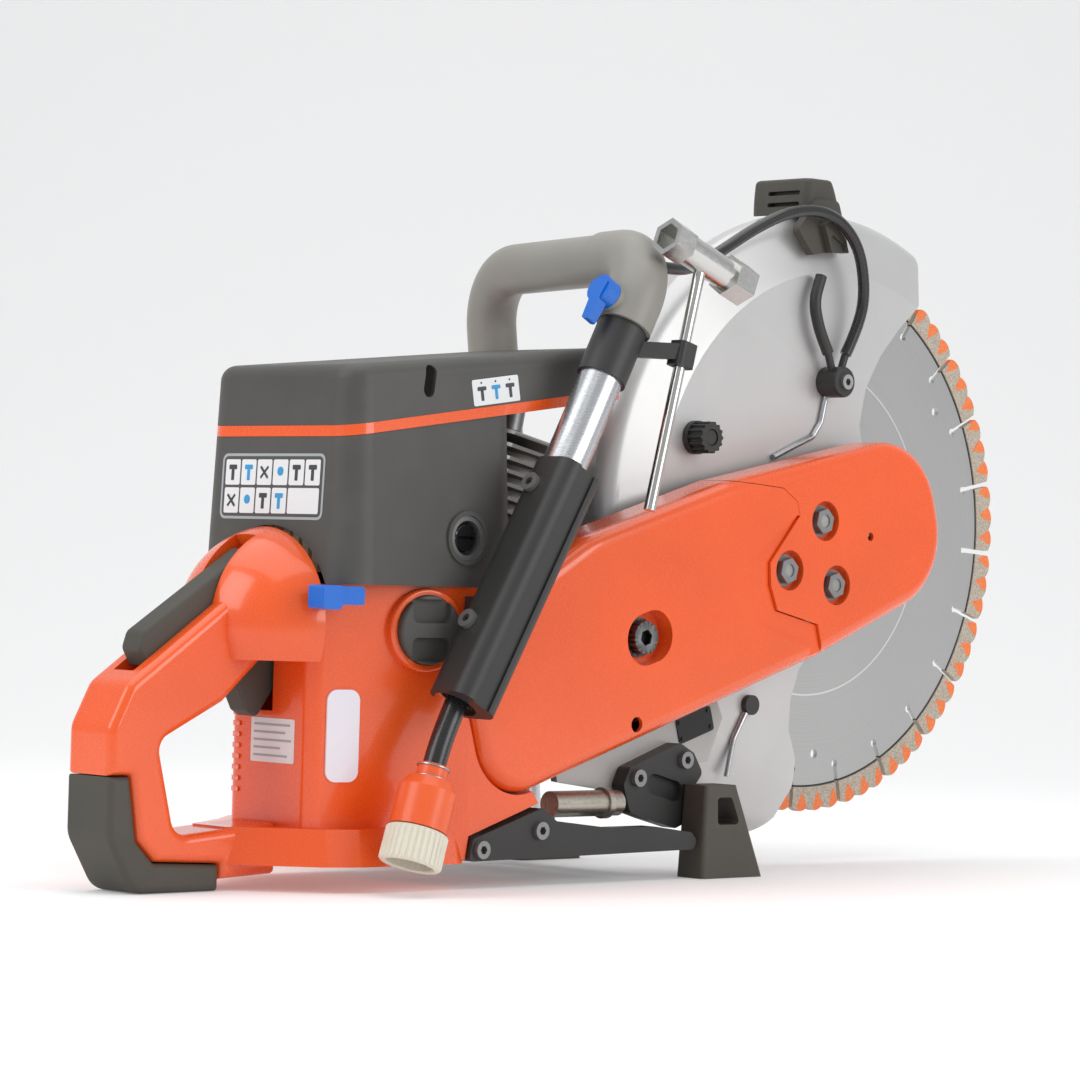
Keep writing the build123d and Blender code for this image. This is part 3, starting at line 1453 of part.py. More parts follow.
with BuildPart() as bracket_bolts:
    with BuildSketch(side(-87)):
        with Locations((-142, 21.5), (-97, 31)):
            Circle(5)
            RegularPolygon(2.5, 6, mode=Mode.SUBTRACT)
    extrude(amount=2.6)
    with BuildSketch(side(arm_outer_y - 10)):
        with Locations((-3, 58), (36, 68)):
            Circle(5)
            RegularPolygon(2.5, 6, mode=Mode.SUBTRACT)
    extrude(amount=3)

bracket_face_y = arm_outer_y - 10
front_bracket_outline = [
    (-14, 54), (-9, 64), (32, 78), (44, 72), (52, 60), (43, 50), (41, 32), (30, 28), (6, 34), (-8, 38),
]
with BuildPart() as front_bracket:
    with BuildSketch(side(arm_outer_y)):
        with BuildLine():
            FilletPolyline(*front_bracket_outline, radius=4, close=True)
        make_face()
    extrude(amount=arm_outer_y - bracket_face_y)
    with BuildSketch(side(bracket_face_y + 4)):
        with Locations((20, 52)):
            SlotOverall(30, 12, rotation=-14)
    extrude(amount=10, mode=Mode.SUBTRACT)

with BuildPart() as brackets:
    for piece in (support_bracket, front_bracket):
        add(piece.part)
save(brackets, "support_bracket")

with BuildPart() as machine_bolts:
    for piece in (guard_nuts, tension_bolt, bracket_bolts, leg_bolts):
        add(piece.part)
save(machine_bolts, "machine_bolts")

foot_inner_y = bracket_face_y - running
with BuildPart() as front_foot:
    with BuildSketch(level(0)):
        with Locations((57, foot_inner_y - 11)):
            RectangleRounded(52, 22, 3)
    with BuildSketch(level(54)):
        with Locations((48, foot_inner_y - 10)):
            RectangleRounded(26, 20, 3)
    loft()
    with BuildSketch(side(0)):
        with BuildLine():
            FilletPolyline((44, 47), (56, 47), (63, 31), (44, 31), radius=2.5, close=True)
        make_face()
    extrude(amount=120, mode=Mode.SUBTRACT)
    with BuildSketch(level(-1)):
        with Locations((53, foot_inner_y - 11)):
            RectangleRounded(30, 14, 2)
    extrude(amount=19, mode=Mode.SUBTRACT)

with BuildPart() as left_foot:
    with BuildSketch(level(0)):
        with Locations((54, left_leg_y - 2)):
            RectangleRounded(56, 36, 8)
    extrude(amount=12)
    with BuildSketch(level(11)):
        with Locations((47, left_leg_y)):
            RectangleRounded(34, 31, 8)
    extrude(amount=17)
    with BuildSketch(Plane(origin=left_foot_end, z_dir=Vector(*left_elbow) - Vector(*left_foot_end))):
        Circle(tube_radius + running)
    extrude(amount=60, mode=Mode.SUBTRACT)

with BuildPart() as feet:
    for piece in (front_foot, left_foot):
        add(piece.part)
save(feet, "feet")

with BuildPart() as vibration_dampers:
    for damper_x, damper_y, damper_top in ((-74, -20, 82.5), (-74, 26, 82.5), (-20, 30, 60)):
        with BuildSketch(level(22)):
            with Locations((damper_x, damper_y)):
                Circle(9)
        extrude(amount=damper_top - 22)
        for turn in range(4):
            with BuildSketch(level(25 + turn * 6)):
                with Locations((damper_x, damper_y)):
                    Circle(11)
            extrude(amount=3)
save(vibration_dampers, "vibration_dampers")

# ---------------------------------------------------------------- starter rope
rope_inner = Vector(*mouth) - pull_direction * 26
with BuildPart() as starter_rope:
    with BuildSketch(Plane(origin=rope_inner, z_dir=pull_direction)):
        Circle(rope_radius)
    extrude(amount=26)
save(starter_rope, "starter_rope")

# ---------------------------------------------------------------- water hoses
hose_start = tuple(stub_root + stub_direction * 23)
guard_hose_route = [
    hose_start, (8, -80, 352.5), (34, -70, 357), (62, -64, 369), (92, -63, 385), (124, -63, 398),
    (158, -63, 400), (184, -63, 383), (194, -61, 354), (192, -58, 332), (184, -55, 314.5),
]
cross_hose_route = [(168, -55, 314.5), (159, -55, 329), (155, -54, 345), (162, -53, 361)]


def hose(route, radius, name):
    """Tube of straight runs and tangent arcs; each arc is as large as its two runs allow."""
    points = [Vector(*p) for p in route]
    radii = []
    for before, corner, after in zip(points, points[1:], points[2:]):
        turn = radians((corner - before).get_angle(after - corner))
        shorter = min((corner - before).length, (after - corner).length)
        radii.append(0.45 * shorter / tan(turn / 2))
    print(name, "arc radii", [round(r, 1) for r in radii])
    path = FilletPolyline(*points, radius=radii)
    print(name, "length", round(path.length, 1))
    start = Plane(origin=points[0], z_dir=points[1] - points[0])
    return sweep(start * Circle(radius), path=path)


guard_hose_tube = hose(guard_hose_route, hose_radius, "guard_hose")
with BuildPart() as guard_hose:
    add(guard_hose_tube)
save(guard_hose, "guard_hose")

cross_hose_tube = hose(cross_hose_route, hose_radius, "cross_hose")
with BuildPart() as cross_hose:
    add(cross_hose_tube)

with BuildPart() as guard_fittings:
    for piece in (water_fitting, guard_knob, cross_hose):
        add(piece.part)
save(guard_fittings, "guard_fittings")

supply_route = [(-170.4, -103, 119), (-181, -103.5, 101), (-193, -105, 79), (-199, -106, 62)]
supply_tube = hose(supply_route, supply_radius, "supply_hose")
with BuildPart() as supply_hose:
    add(supply_tube)
save(supply_hose, "supply_hose")

coupling_plane = Plane(origin=supply_route[-1], z_dir=Vector(*supply_route[-1]) - Vector(*supply_route[-2]))
with BuildPart() as hose_clamp:
    with BuildSketch(coupling_plane.offset(-8)):
        Circle(supply_radius + 2)
        Circle(supply_radius + 0.05, mode=Mode.SUBTRACT)
    extrude(amount=8.2)

with BuildPart() as hose_coupling:
    with BuildSketch(coupling_plane):
        Circle(12)
    with BuildSketch(coupling_plane.offset(6)):
        Circle(16)
    loft()
    with BuildSketch(coupling_plane.offset(6)):
        Circle(16)
    extrude(amount=22)
    with BuildSketch(coupling_plane.offset(28)):
        Circle(9)
    extrude(amount=-18, mode=Mode.SUBTRACT)

with BuildPart() as coupling_body:
    for piece in (hose_coupling, hose_clamp):
        add(piece.part)
save(coupling_body, "hose_coupling")

thread_radius = 13.2
with BuildPart() as coupling_ring:
    with BuildSketch(coupling_plane.offset(28.2)):
        Circle(17.5)
    extrude(amount=20)
    with BuildSketch(coupling_plane.offset(48.2)):
        Circle(thread_radius)
    extrude(amount=-15, mode=Mode.SUBTRACT)
    with BuildSketch(coupling_plane.offset(28.2)):
        Circle(9)
    extrude(amount=6, mode=Mode.SUBTRACT)
save(coupling_ring, "coupling_ring")
print("ring bottom", round(coupling_ring.part.bounding_box().min.Z, 2))
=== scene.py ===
from math import cos, pi, radians, sin

import bmesh
import bpy
from mathutils import Matrix, Vector


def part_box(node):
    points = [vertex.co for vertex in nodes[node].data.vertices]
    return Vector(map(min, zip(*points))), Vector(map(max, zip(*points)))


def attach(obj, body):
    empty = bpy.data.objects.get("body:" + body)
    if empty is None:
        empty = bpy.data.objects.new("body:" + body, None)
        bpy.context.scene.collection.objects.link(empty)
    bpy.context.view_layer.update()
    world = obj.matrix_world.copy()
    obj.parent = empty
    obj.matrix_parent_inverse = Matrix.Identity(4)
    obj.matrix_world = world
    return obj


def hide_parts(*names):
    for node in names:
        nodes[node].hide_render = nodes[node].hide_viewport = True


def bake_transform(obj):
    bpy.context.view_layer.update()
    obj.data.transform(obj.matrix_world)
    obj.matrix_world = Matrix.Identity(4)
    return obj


# Petrol cut-off saw for concrete. Metres, +X forward, +Y left, +Z up, ground at Z = 0.
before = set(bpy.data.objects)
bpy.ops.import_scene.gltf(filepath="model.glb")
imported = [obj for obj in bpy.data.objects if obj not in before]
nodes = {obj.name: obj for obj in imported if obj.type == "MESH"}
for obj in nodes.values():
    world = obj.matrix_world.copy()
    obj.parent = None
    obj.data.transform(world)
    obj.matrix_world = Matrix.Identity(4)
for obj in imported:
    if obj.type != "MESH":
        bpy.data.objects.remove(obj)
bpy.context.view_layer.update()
scene = bpy.context.scene

ARBOR = Vector((0.188, -0.025, 0.207))
TEETH_PER_TURN = 72
TOOTH_PHASE = 31.05
SEGMENT_ROOT, TOOTH_FLOOR = 0.163, 0.171  # radii between which the orange patches narrow
SEGMENT_WELD, CORE_STEP_HIGHLIGHT = 0.1595, 0.103  # radii of the dark weld line and of the painted highlight line on the core step


# ---------------------------------------------------------------- camera
CAMERA_PLACE = (-1.660, -1.689, 0.179)
CAMERA_ANGLES = (-44.17, -0.37, 1.73)  # azimuth, elevation and roll in degrees
SENSOR_WIDTH, FOCAL_LENGTH = 36, 133.33  # mm


def place_camera():
    """Camera turned by its azimuth and elevation, then rolled about its own axis."""
    azimuth, elevation, roll = (radians(angle) for angle in CAMERA_ANGLES)
    r = Vector((cos(azimuth), sin(azimuth), 0))
    u = Vector((-sin(azimuth) * sin(elevation), cos(azimuth) * sin(elevation), cos(elevation)))
    back = Vector((sin(azimuth) * cos(elevation), -cos(azimuth) * cos(elevation), sin(elevation)))
    right = r * cos(roll) + u * sin(roll)
    up = u * cos(roll) - r * sin(roll)
    data = bpy.data.cameras.new("camera")
    data.sensor_width = SENSOR_WIDTH
    data.lens = FOCAL_LENGTH
    data.clip_start = 0.05
    camera = bpy.data.objects.new("camera", data)
    scene.collection.objects.link(camera)
    matrix = Matrix((right, up, back)).transposed().to_4x4()
    matrix.translation = CAMERA_PLACE
    camera.matrix_world = matrix
    scene.camera = camera


place_camera()


# ---------------------------------------------------------------- materials
def linear(r, g, b):
    """Linear colour from 8-bit display values."""
    out = []
    for v in (r, g, b):
        v = v / 255
        out.append(v / 12.92 if v <= 0.04045 else ((v + 0.055) / 1.055) ** 2.4)
    return (*out, 1.0)


def tone(colour, factor):
    return (*(min(1.0, c * factor) for c in colour[:3]), 1.0)


class Nodes:
    """Small helper that adds and links shader nodes of one material."""

    def __init__(self, name):
        self.material = bpy.data.materials.new(name)
        self.material.use_nodes = True
        self.tree = self.material.node_tree
        self.shader = self.tree.nodes["Principled BSDF"]

    def add(self, kind, **values):
        node = self.tree.nodes.new(kind)
        for key, value in values.items():
            setattr(node, key, value)
        return node

    def link(self, a, b):
        self.tree.links.new(a, b)

    def math(self, operation, a, b=None, c=None):
        node = self.add("ShaderNodeMath", operation=operation)
        for index, value in enumerate((a, b, c)):
            if value is None:
                continue
            if isinstance(value, (int, float)):
                node.inputs[index].default_value = value
            else:
                self.link(value, node.inputs[index])
        return node.outputs[0]

    def mix(self, factor, a, b):
        node = self.add("ShaderNodeMix", data_type="RGBA")
        self.link(factor, node.inputs[0])
        for socket, value in ((node.inputs[6], a), (node.inputs[7], b)):
            if isinstance(value, tuple):
                socket.default_value = value
            else:
                self.link(value, socket)
        return node.outputs[2]

    def position(self):
        return self.add("ShaderNodeTexCoord").outputs["Object"]

    def noise(self, scale, detail=3.0, stretch=None, vector=None):
        node = self.add("ShaderNodeTexNoise")
        node.inputs["Scale"].default_value = scale
        node.inputs["Detail"].default_value = detail
        source = vector or self.position()
        if stretch:
            mapping = self.add("ShaderNodeMapping")
            mapping.inputs["Scale"].default_value = stretch
            self.link(source, mapping.inputs["Vector"])
            source = mapping.outputs[0]
        self.link(source, node.inputs["Vector"])
        return node.outputs["Fac"]

    def ranged(self, value, low, high, to_low, to_high):
        node = self.add("ShaderNodeMapRange")
        self.link(value, node.inputs[0])
        for index, number in enumerate((low, high, to_low, to_high)):
            node.inputs[index + 1].default_value = number
        return node.outputs[0]

    def bump(self, height, distance, strength=1.0):
        node = self.add("ShaderNodeBump")
        node.inputs["Strength"].default_value = strength
        node.inputs["Distance"].default_value = distance
        self.link(height, node.inputs["Height"])
        self.link(node.outputs[0], self.shader.inputs["Normal"])

    def set(self, **values):
        for key, value in values.items():
            self.shader.inputs[key.replace("_", " ")].default_value = value


def finish_of(name, colour, rough, metallic=0.0, coat=0.0, spread=0.12, grain=900.0, depth=0.00004,
              edge_wear_and_highlight=0.0, stretch=None, soil=0.0):
    """Base finish: colour drift, roughness drift and surface grain, with lighter edges where asked (partly
    worn edges, partly a painted edge highlight) and dust where asked.
    """
    n = Nodes(name)
    broad = n.noise(14.0, 4.0)
    fine = n.noise(grain, 3.0, stretch)
    drift = n.ranged(broad, 0.3, 0.7, 0.0, 1.0)
    base = n.mix(drift, tone(colour, 1 - spread), tone(colour, 1 + spread))
    if edge_wear_and_highlight:
        # Convex edges lightened by pointiness: partly edge wear, partly a painted edge highlight standing in
        # for bevels.
        edge = n.add("ShaderNodeNewGeometry").outputs["Pointiness"]
        mask = n.ranged(edge, 0.52, 0.60, 0.0, edge_wear_and_highlight)
        base = n.mix(mask, base, tone(colour, 1.9) if metallic < 0.5 else linear(225, 225, 225))
    if soil:
        dust = n.ranged(n.noise(45.0, 6.0), 0.52, 0.78, 0.0, soil)
        base = n.mix(dust, base, linear(150, 146, 138))
    n.link(base, n.shader.inputs["Base Color"])
    n.link(n.ranged(fine, 0.25, 0.75, max(0.02, rough - 0.06), rough + 0.07), n.shader.inputs["Roughness"])
    n.bump(fine, depth, 0.6)
    n.set(Metallic=metallic, Coat_Weight=coat, Coat_Roughness=0.08)
    return n.material


def polar_nodes(n):
    """Radius in metres and angle in turns of a point on the blade."""
    split = n.add("ShaderNodeSeparateXYZ")
    n.link(n.position(), split.inputs[0])
    x = n.math("SUBTRACT", split.outputs[0], ARBOR.x)
    z = n.math("SUBTRACT", split.outputs[2], ARBOR.z)
    radius = n.math("SQRT", n.math("ADD", n.math("MULTIPLY", x, x), n.math("MULTIPLY", z, z)))
    turns = n.math("DIVIDE", n.math("ARCTAN2", z, x), 2 * pi)
    return radius, turns


def ring_mask(n, radius, at, width):
    """One within width of a radius, else nothing."""
    return n.math("LESS_THAN", n.math("ABSOLUTE", n.math("SUBTRACT", radius, at)), width)


def turned_steel(name, colour, rough, rings=()):
    """Steel ground in circles about the arbor; rings are (radius, half width, colour)."""
    n = Nodes(name)
    radius = polar_nodes(n)[0]
    lines = n.add("ShaderNodeTexNoise", noise_dimensions="1D")
    lines.inputs["Scale"].default_value = 1400.0
    lines.inputs["Detail"].default_value = 4.0
    n.link(radius, lines.inputs["W"])
    sweep = n.noise(6.0, 2.0)
    base = n.mix(n.ranged(lines.outputs["Fac"], 0.3, 0.7, 0, 1), tone(colour, 0.93), tone(colour, 1.06))
    base = n.mix(n.ranged(sweep, 0.4, 0.7, 0, 0.5), base, tone(colour, 0.86))
    for at, width, ring_colour in rings:
        base = n.mix(ring_mask(n, radius, at, width), base, ring_colour)
    n.link(base, n.shader.inputs["Base Color"])
    n.link(n.ranged(lines.outputs["Fac"], 0.3, 0.7, rough - 0.05, rough + 0.08), n.shader.inputs["Roughness"])
    n.bump(lines.outputs["Fac"], 0.00003, 0.5)
    n.set(Metallic=0.85)
    return n.material


def segment_finish():
    """Sintered segments with orange paint left in the valleys between the teeth."""
    n = Nodes("segment_grit")
    radius, turns = polar_nodes(n)
    wave = n.math("FRACT", n.math("ADD", n.math("MULTIPLY", turns, TEETH_PER_TURN), TOOTH_PHASE))
    valley = n.math("MULTIPLY", n.math("ABSOLUTE", n.math("SUBTRACT", wave, 0.5)), 2.0)
    reach = n.ranged(radius, SEGMENT_ROOT, TOOTH_FLOOR, 1.0, 0.42)
    paint = n.math("GREATER_THAN", valley, reach)
    grit = n.noise(1500.0, 4.0)
    beige = n.mix(n.ranged(grit, 0.35, 0.65, 0, 1), linear(150, 138, 122), linear(200, 190, 175))
    orange = n.mix(n.ranged(grit, 0.35, 0.65, 0, 1), linear(226, 110, 55), linear(240, 140, 84))
    n.link(n.mix(paint, beige, orange), n.shader.inputs["Base Color"])
    n.set(Roughness=0.62, Metallic=0.15)
    n.bump(grit, 0.00012, 0.8)
    return n.material


def brushed(name, colour, rough, stretch, edge_wear_and_highlight=0.15):
    return finish_of(name, colour, rough, metallic=0.9, spread=0.06, grain=260.0, depth=0.00002,
                     stretch=stretch, edge_wear_and_highlight=edge_wear_and_highlight)


ORANGE = linear(236, 88, 26)
looks = {
    "orange": finish_of(
        "orange_gloss", ORANGE, 0.26, coat=0.55, spread=0.05, grain=1600.0, depth=0.000012, edge_wear_and_highlight=0.05,
    ),
    "orange_mould": finish_of(
        "orange_mould", linear(238, 96, 40), 0.38, coat=0.2, spread=0.05, grain=1800.0, depth=0.00002,
    ),
    "charcoal": finish_of(
        "charcoal_moulding", linear(72, 71, 68), 0.50, spread=0.10, grain=2600.0, depth=0.00005,
        edge_wear_and_highlight=0.10, soil=0.04,
    ),
    "black": finish_of(
        "black_moulding", linear(40, 40, 39), 0.45, spread=0.14, grain=2200.0, depth=0.00005, edge_wear_and_highlight=0.2,
    ),
    "pad": finish_of(
        "grip_rubber", linear(70, 67, 60), 0.60, spread=0.12, grain=2400.0, depth=0.00007, edge_wear_and_highlight=0.08,
    ),
    "grip": finish_of(
        "handle_rubber", linear(142, 139, 132), 0.42, spread=0.07, grain=1500.0, depth=0.00003,
        soil=0.05,
    ),
    "tube": brushed("drawn_tube", linear(205, 207, 210), 0.24, (1, 1, 12)),
    "silver": finish_of(
        "silver_paint", linear(198, 198, 197), 0.36, metallic=0.45, coat=0.15, spread=0.04,
        grain=2200.0, depth=0.00001, edge_wear_and_highlight=0.10,
    ),
    "steel": brushed("machined_steel", linear(178, 178, 180), 0.30, (1, 8, 1)),
    "cast": finish_of(
        "die_cast", linear(150, 148, 144), 0.52, metallic=0.7, spread=0.12, grain=700.0, depth=0.00014,
        edge_wear_and_highlight=0.3, soil=0.12,
    ),
    "fins": finish_of(
        "cooling_fins", linear(112, 110, 107), 0.48, metallic=0.75, spread=0.15, grain=800.0,
        depth=0.00010, edge_wear_and_highlight=0.35,
    ),
    "bolt": finish_of(
        "black_oxide", linear(36, 36, 38), 0.34, metallic=0.7, spread=0.2, grain=1400.0, depth=0.00002,
        edge_wear_and_highlight=0.35,
    ),
    "blue": finish_of(
        "blue_plastic", linear(12, 104, 205), 0.30, coat=0.3, spread=0.06, grain=1600.0, depth=0.00001,
    ),
    "hose": finish_of(
        "black_hose", linear(30, 30, 31), 0.28, coat=0.25, spread=0.2, grain=1400.0, depth=0.00003,
    ),
    "zinc": finish_of(
        "zinc_plate", linear(205, 205, 202), 0.20, metallic=1.0, spread=0.08, grain=300.0,
        depth=0.00004, edge_wear_and_highlight=0.2, stretch=(1, 1, 4),
    ),
    "window": finish_of(
        "milky_window", linear(232, 228, 236), 0.22, coat=0.3, spread=0.04, grain=900.0, depth=0.00001,
    ),
    "cream": finish_of(
        "cream_moulding", linear(226, 222, 205), 0.48, spread=0.06, grain=1800.0, depth=0.00004,
        edge_wear_and_highlight=0.05,
    ),
    "paper": finish_of(
        "filter_paper", linear(208, 200, 170), 0.80, spread=0.10, grain=1200.0, depth=0.00010,
    ),
    "exhaust": brushed("exhaust_steel", linear(178, 172, 160), 0.30, (1, 6, 1), 0.2),
    "plate": finish_of(
        "etched_plate", linear(34, 34, 35), 0.32, metallic=0.3, spread=0.10, grain=1800.0,
        depth=0.00001,
    ),
    "label": finish_of(
        "label_film", linear(228, 229, 230), 0.35, coat=0.2, spread=0.03, grain=900.0, depth=0.00001,
    ),
    "label_dark": finish_of(
        "label_ink", linear(60, 62, 66), 0.38, spread=0.08, grain=900.0, depth=0.00001,
    ),
    "label_blue": finish_of(
        "label_blue", linear(50, 150, 205), 0.38, spread=0.05, grain=900.0, depth=0.00001,
    ),
    "label_grey": finish_of(
        "label_grey", linear(165, 170, 174), 0.38, spread=0.05, grain=900.0, depth=0.00001,
    ),
    "blade": turned_steel(
        "blade_steel", linear(190, 190, 189), 0.34,
        # The bright ring at the core step is a painted highlight; the dark ring is the weld line.
        [(SEGMENT_WELD, 0.0006, linear(70, 68, 66)), (CORE_STEP_HIGHLIGHT, 0.0005, linear(225, 225, 225))],
    ),
    "segment": segment_finish(),
}

CAD_LOOKS = {
    "blade": ["blade_core"], "segment": ["blade_segments"],
    "steel": ["blade_flanges", "arbor_shaft", "driven_pulley", "clutch_drum", "clutch_shoes", "crankshaft",
              "piston_and_rod", "shaft_bearings", "water_jets", "recoil_spring"],
    "cast": ["cutting_arm", "crankcase", "flywheel", "carburettor"], "fins": ["cylinder"],
    "bolt": ["machine_bolts", "spark_plug", "cover_screw"], "plate": ["data_plate"],
    "hose": ["drive_belt"], "silver": ["blade_guard"],
    "orange": ["rear_belt_guard", "front_belt_guard", "tank_housing", "rear_handle", "starter_housing",
               "cover_strip"],
    "orange_mould": ["hose_coupling"],
    "charcoal": ["cylinder_cover", "filter_housing", "fuel_cap"],
    "black": ["guard_fittings", "hose_guard", "wrench_holder", "support_bracket", "starter_pulley",
              "starter_handle"],
    "pad": ["guard_handle", "handle_pad", "throttle_trigger", "throttle_lockout", "feet",
            "vibration_dampers"],
    "grip": ["handle_grip", "handle_elbow"], "tube": ["front_handle_tube"],
    "blue": ["decompression_valve", "choke_lever", "stop_switch", "tap_knob"],
    "window": ["fuel_window"], "paper": ["air_filter"], "zinc": ["wrench"], "exhaust": ["muffler"],
}


for look, names in CAD_LOOKS.items():
    for node_name in names:
        target = nodes[node_name]
        if target.data.materials:
            for index in range(len(target.data.materials)):
                target.data.materials[index] = looks[look]
        else:
            target.data.materials.append(looks[look])


# ---------------------------------------------------------------- mesh helpers
def build(name, bm, look, body, smooth=35):
    """Mesh object from bmesh data, riding on a body."""
    bmesh.ops.recalc_face_normals(bm, faces=bm.faces[:])
    mesh = bpy.data.meshes.new(name)
    bm.to_mesh(mesh)
    bm.free()
    obj = bpy.data.objects.new(name, mesh)
    scene.collection.objects.link(obj)
    mesh.materials.append(looks[look])
    mesh.shade_smooth()
    mesh.set_sharp_from_angle(angle=radians(smooth))
    if body:
        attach(obj, body)
    return obj


def lathe(bm, origin, axis, profile, steps, ripple=None):
    """Turned surface: profile is (distance along the axis, radius); ripple adds to the radius by angle."""
    axis = Vector(axis).normalized()
    x = axis.orthogonal().normalized()
    y = axis.cross(x)
    rings = []
    for along, radius in profile:
        ring = []
        for step in range(steps):
            angle = 2 * pi * step / steps
            grown = radius + (ripple(along, angle) if ripple else 0)
            outward = x * cos(angle) + y * sin(angle)
            ring.append(bm.verts.new(Vector(origin) + axis * along + outward * grown))
        rings.append(ring)
    for low, high in zip(rings, rings[1:]):
        for step in range(steps):
            after = (step + 1) % steps
            bm.faces.new((low[step], low[after], high[after], high[step]))
    return rings


def rounded_outline(width, height, radius, steps=4):
    """Points of a rounded rectangle about the origin."""
    points = []
    for cx, cy, start in ((1, 1, 0), (-1, 1, 90), (-1, -1, 180), (1, -1, 270)):
        for step in range(steps + 1):
            angle = radians(start + 90 * step / steps)
            points.append((cx * (width / 2 - radius) + radius * cos(angle),
                           cy * (height / 2 - radius) + radius * sin(angle)))
    return points


RAY_START, RAY_REACH = 0.03, 0.08


class Face:
    """Flat working area laid against a CAD node: u runs right, v up, seen from outside."""

    def __init__(self, node_name, centre, outward, right):
        self.node = nodes[node_name]
        self.outward = Vector(outward).normalized()
        self.right = Vector(right).normalized()
        self.up = self.outward.cross(self.right)
        self.centre = Vector(centre)

    def point(self, u, v, lift):
        spot = self.centre + self.right * u + self.up * v
        start = spot + self.outward * RAY_START
        hit, place = self.node.ray_cast(start, -self.outward, distance=RAY_REACH)[:2]
        return (place if hit else spot) + self.outward * lift

    def plate(self, bm, outline, lift, thick):
        """Thin plate with the given outline, following the surface below it."""
        high = [bm.verts.new(self.point(u, v, lift + thick)) for u, v in outline]
        low = [bm.verts.new(self.point(u, v, lift)) for u, v in outline]
        bm.faces.new(high)
        bm.faces.new(low[::-1])
        count = len(outline)
        for index in range(count):
            after = (index + 1) % count
            bm.faces.new((high[index], low[index], low[after], high[after]))


def shifted(outline, u, v):
    return [(x + u, y + v) for x, y in outline]


# ---------------------------------------------------------------- cords and hoses
def nurbs(name, points, radius, look, resolution=8):
    """Smooth hose along a route of control points."""
    curve = bpy.data.curves.new(name, "CURVE")
    curve.dimensions = "3D"
    spline = curve.splines.new("NURBS")
    spline.points.add(len(points) - 1)
    for point, place in zip(spline.points, points):
        point.co = (*place, 1)
    spline.order_u = 3
    spline.use_endpoint_u = True
    spline.resolution_u = resolution
    curve.bevel_depth = radius
    curve.bevel_resolution = 6
    curve.use_fill_caps = True
    curve.materials.append(looks[look])
    obj = bpy.data.objects.new(name, curve)
    scene.collection.objects.link(obj)
    return obj


SUPPLY_RADIUS, GUARD_HOSE_RADIUS, ROPE_RADIUS = 0.0064, 0.0036, 0.0019
supply_route = [(-0.161, -0.103, 0.1352), (-0.1715, -0.103, 0.118), (-0.181, -0.1036, 0.1004),
                (-0.193, -0.105, 0.079), (-0.199, -0.106, 0.062)]
supply = nurbs("supply_hose_run", supply_route, SUPPLY_RADIUS, "hose")
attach(supply, "machine")
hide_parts("supply_hose")

guard_route = [
    (-0.00831, -0.0793, 0.3536), (0.008, -0.080, 0.3525), (0.034, -0.070, 0.357), (0.062, -0.064, 0.369),
    (0.092, -0.063, 0.385), (0.124, -0.063, 0.398), (0.158, -0.063, 0.400), (0.184, -0.063, 0.383),
    (0.194, -0.061, 0.354), (0.192, -0.058, 0.332), (0.184, -0.055, 0.3145),
]
curve_object = nurbs("guard_hose_curve", guard_route, GUARD_HOSE_RADIUS, "hose", 10)
bpy.context.view_layer.update()
hose_mesh = bpy.data.meshes.new_from_object(curve_object.evaluated_get(bpy.context.evaluated_depsgraph_get()))
bpy.data.objects.remove(curve_object)
guard_hose = bpy.data.objects.new("guard_hose_run", hose_mesh)
scene.collection.objects.link(guard_hose)
hose_mesh.materials.clear()
hose_mesh.materials.append(looks["hose"])
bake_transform(guard_hose)
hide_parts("guard_hose")

# ---------------------------------------------------------------- water coupling
run_in = (Vector(supply_route[-1]) - Vector(supply_route[-2])).normalized()
coupling_end = Vector(supply_route[-1])


def teeth(count, depth, low, high):
    """Ripple of grip ribs between two distances along the axis."""
    def ripple(along, angle):
        inside = low <= along <= high
        return depth * max(-0.6, min(0.6, cos(count * angle) * 1.6)) if inside else 0.0
    return ripple


bm = bmesh.new()
ring_profile = [(0.0285, 0.009), (0.0285, 0.0155), (0.0292, 0.0166), (0.0300, 0.0168), (0.0385, 0.0168),
                (0.0392, 0.0169), (0.0470, 0.0169), (0.0478, 0.0166), (0.0482, 0.0160), (0.0482, 0.0140),
                (0.0474, 0.0132), (0.0340, 0.0132), (0.0338, 0.009), (0.0285, 0.009)]
lathe(bm, coupling_end, run_in, ring_profile, 192, teeth(32, 0.0007, 0.0299, 0.0471))
bmesh.ops.remove_doubles(bm, verts=bm.verts[:], dist=1e-6)
ring_piece = build("coupling_ring_ribbed", bm, "cream", "machine")
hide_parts("coupling_ring")

bm = bmesh.new()
clamp_start = coupling_end - run_in * 0.0076
clamp_bore, clamp_outer, rim_width, rim_bevel = 0.0087, 0.0092, 0.0014, 0.0004
for edge in (0.0, 0.0062):
    rim_profile = [(edge, clamp_bore), (edge + rim_bevel, clamp_outer),
                   (edge + rim_width - rim_bevel, clamp_outer), (edge + rim_width, clamp_bore),
                   (edge, clamp_bore)]
    lathe(bm, clamp_start, run_in, rim_profile, 48)
bmesh.ops.remove_doubles(bm, verts=bm.verts[:], dist=1e-6)
clamp_rings = build("clamp_rims", bm, "steel", "machine")

# ---------------------------------------------------------------- starter rope
low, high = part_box("starter_rope")
bm = bmesh.new()
rope_steps = 40
rope_x = (low[0] + high[0]) / 2
rope_y = (low[1] + high[1]) / 2
span = high[2] - low[2]
profile = [(span * k / rope_steps, ROPE_RADIUS) for k in range(rope_steps + 1)]
rings = lathe(bm, (rope_x, rope_y, low[2]), (0, 0, 1), profile, 16)
bm.faces.new(rings[0][::-1])
bm.faces.new(rings[-1])
rope = build("starter_rope_run", bm, "hose", None)
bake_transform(rope)
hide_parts("starter_rope")

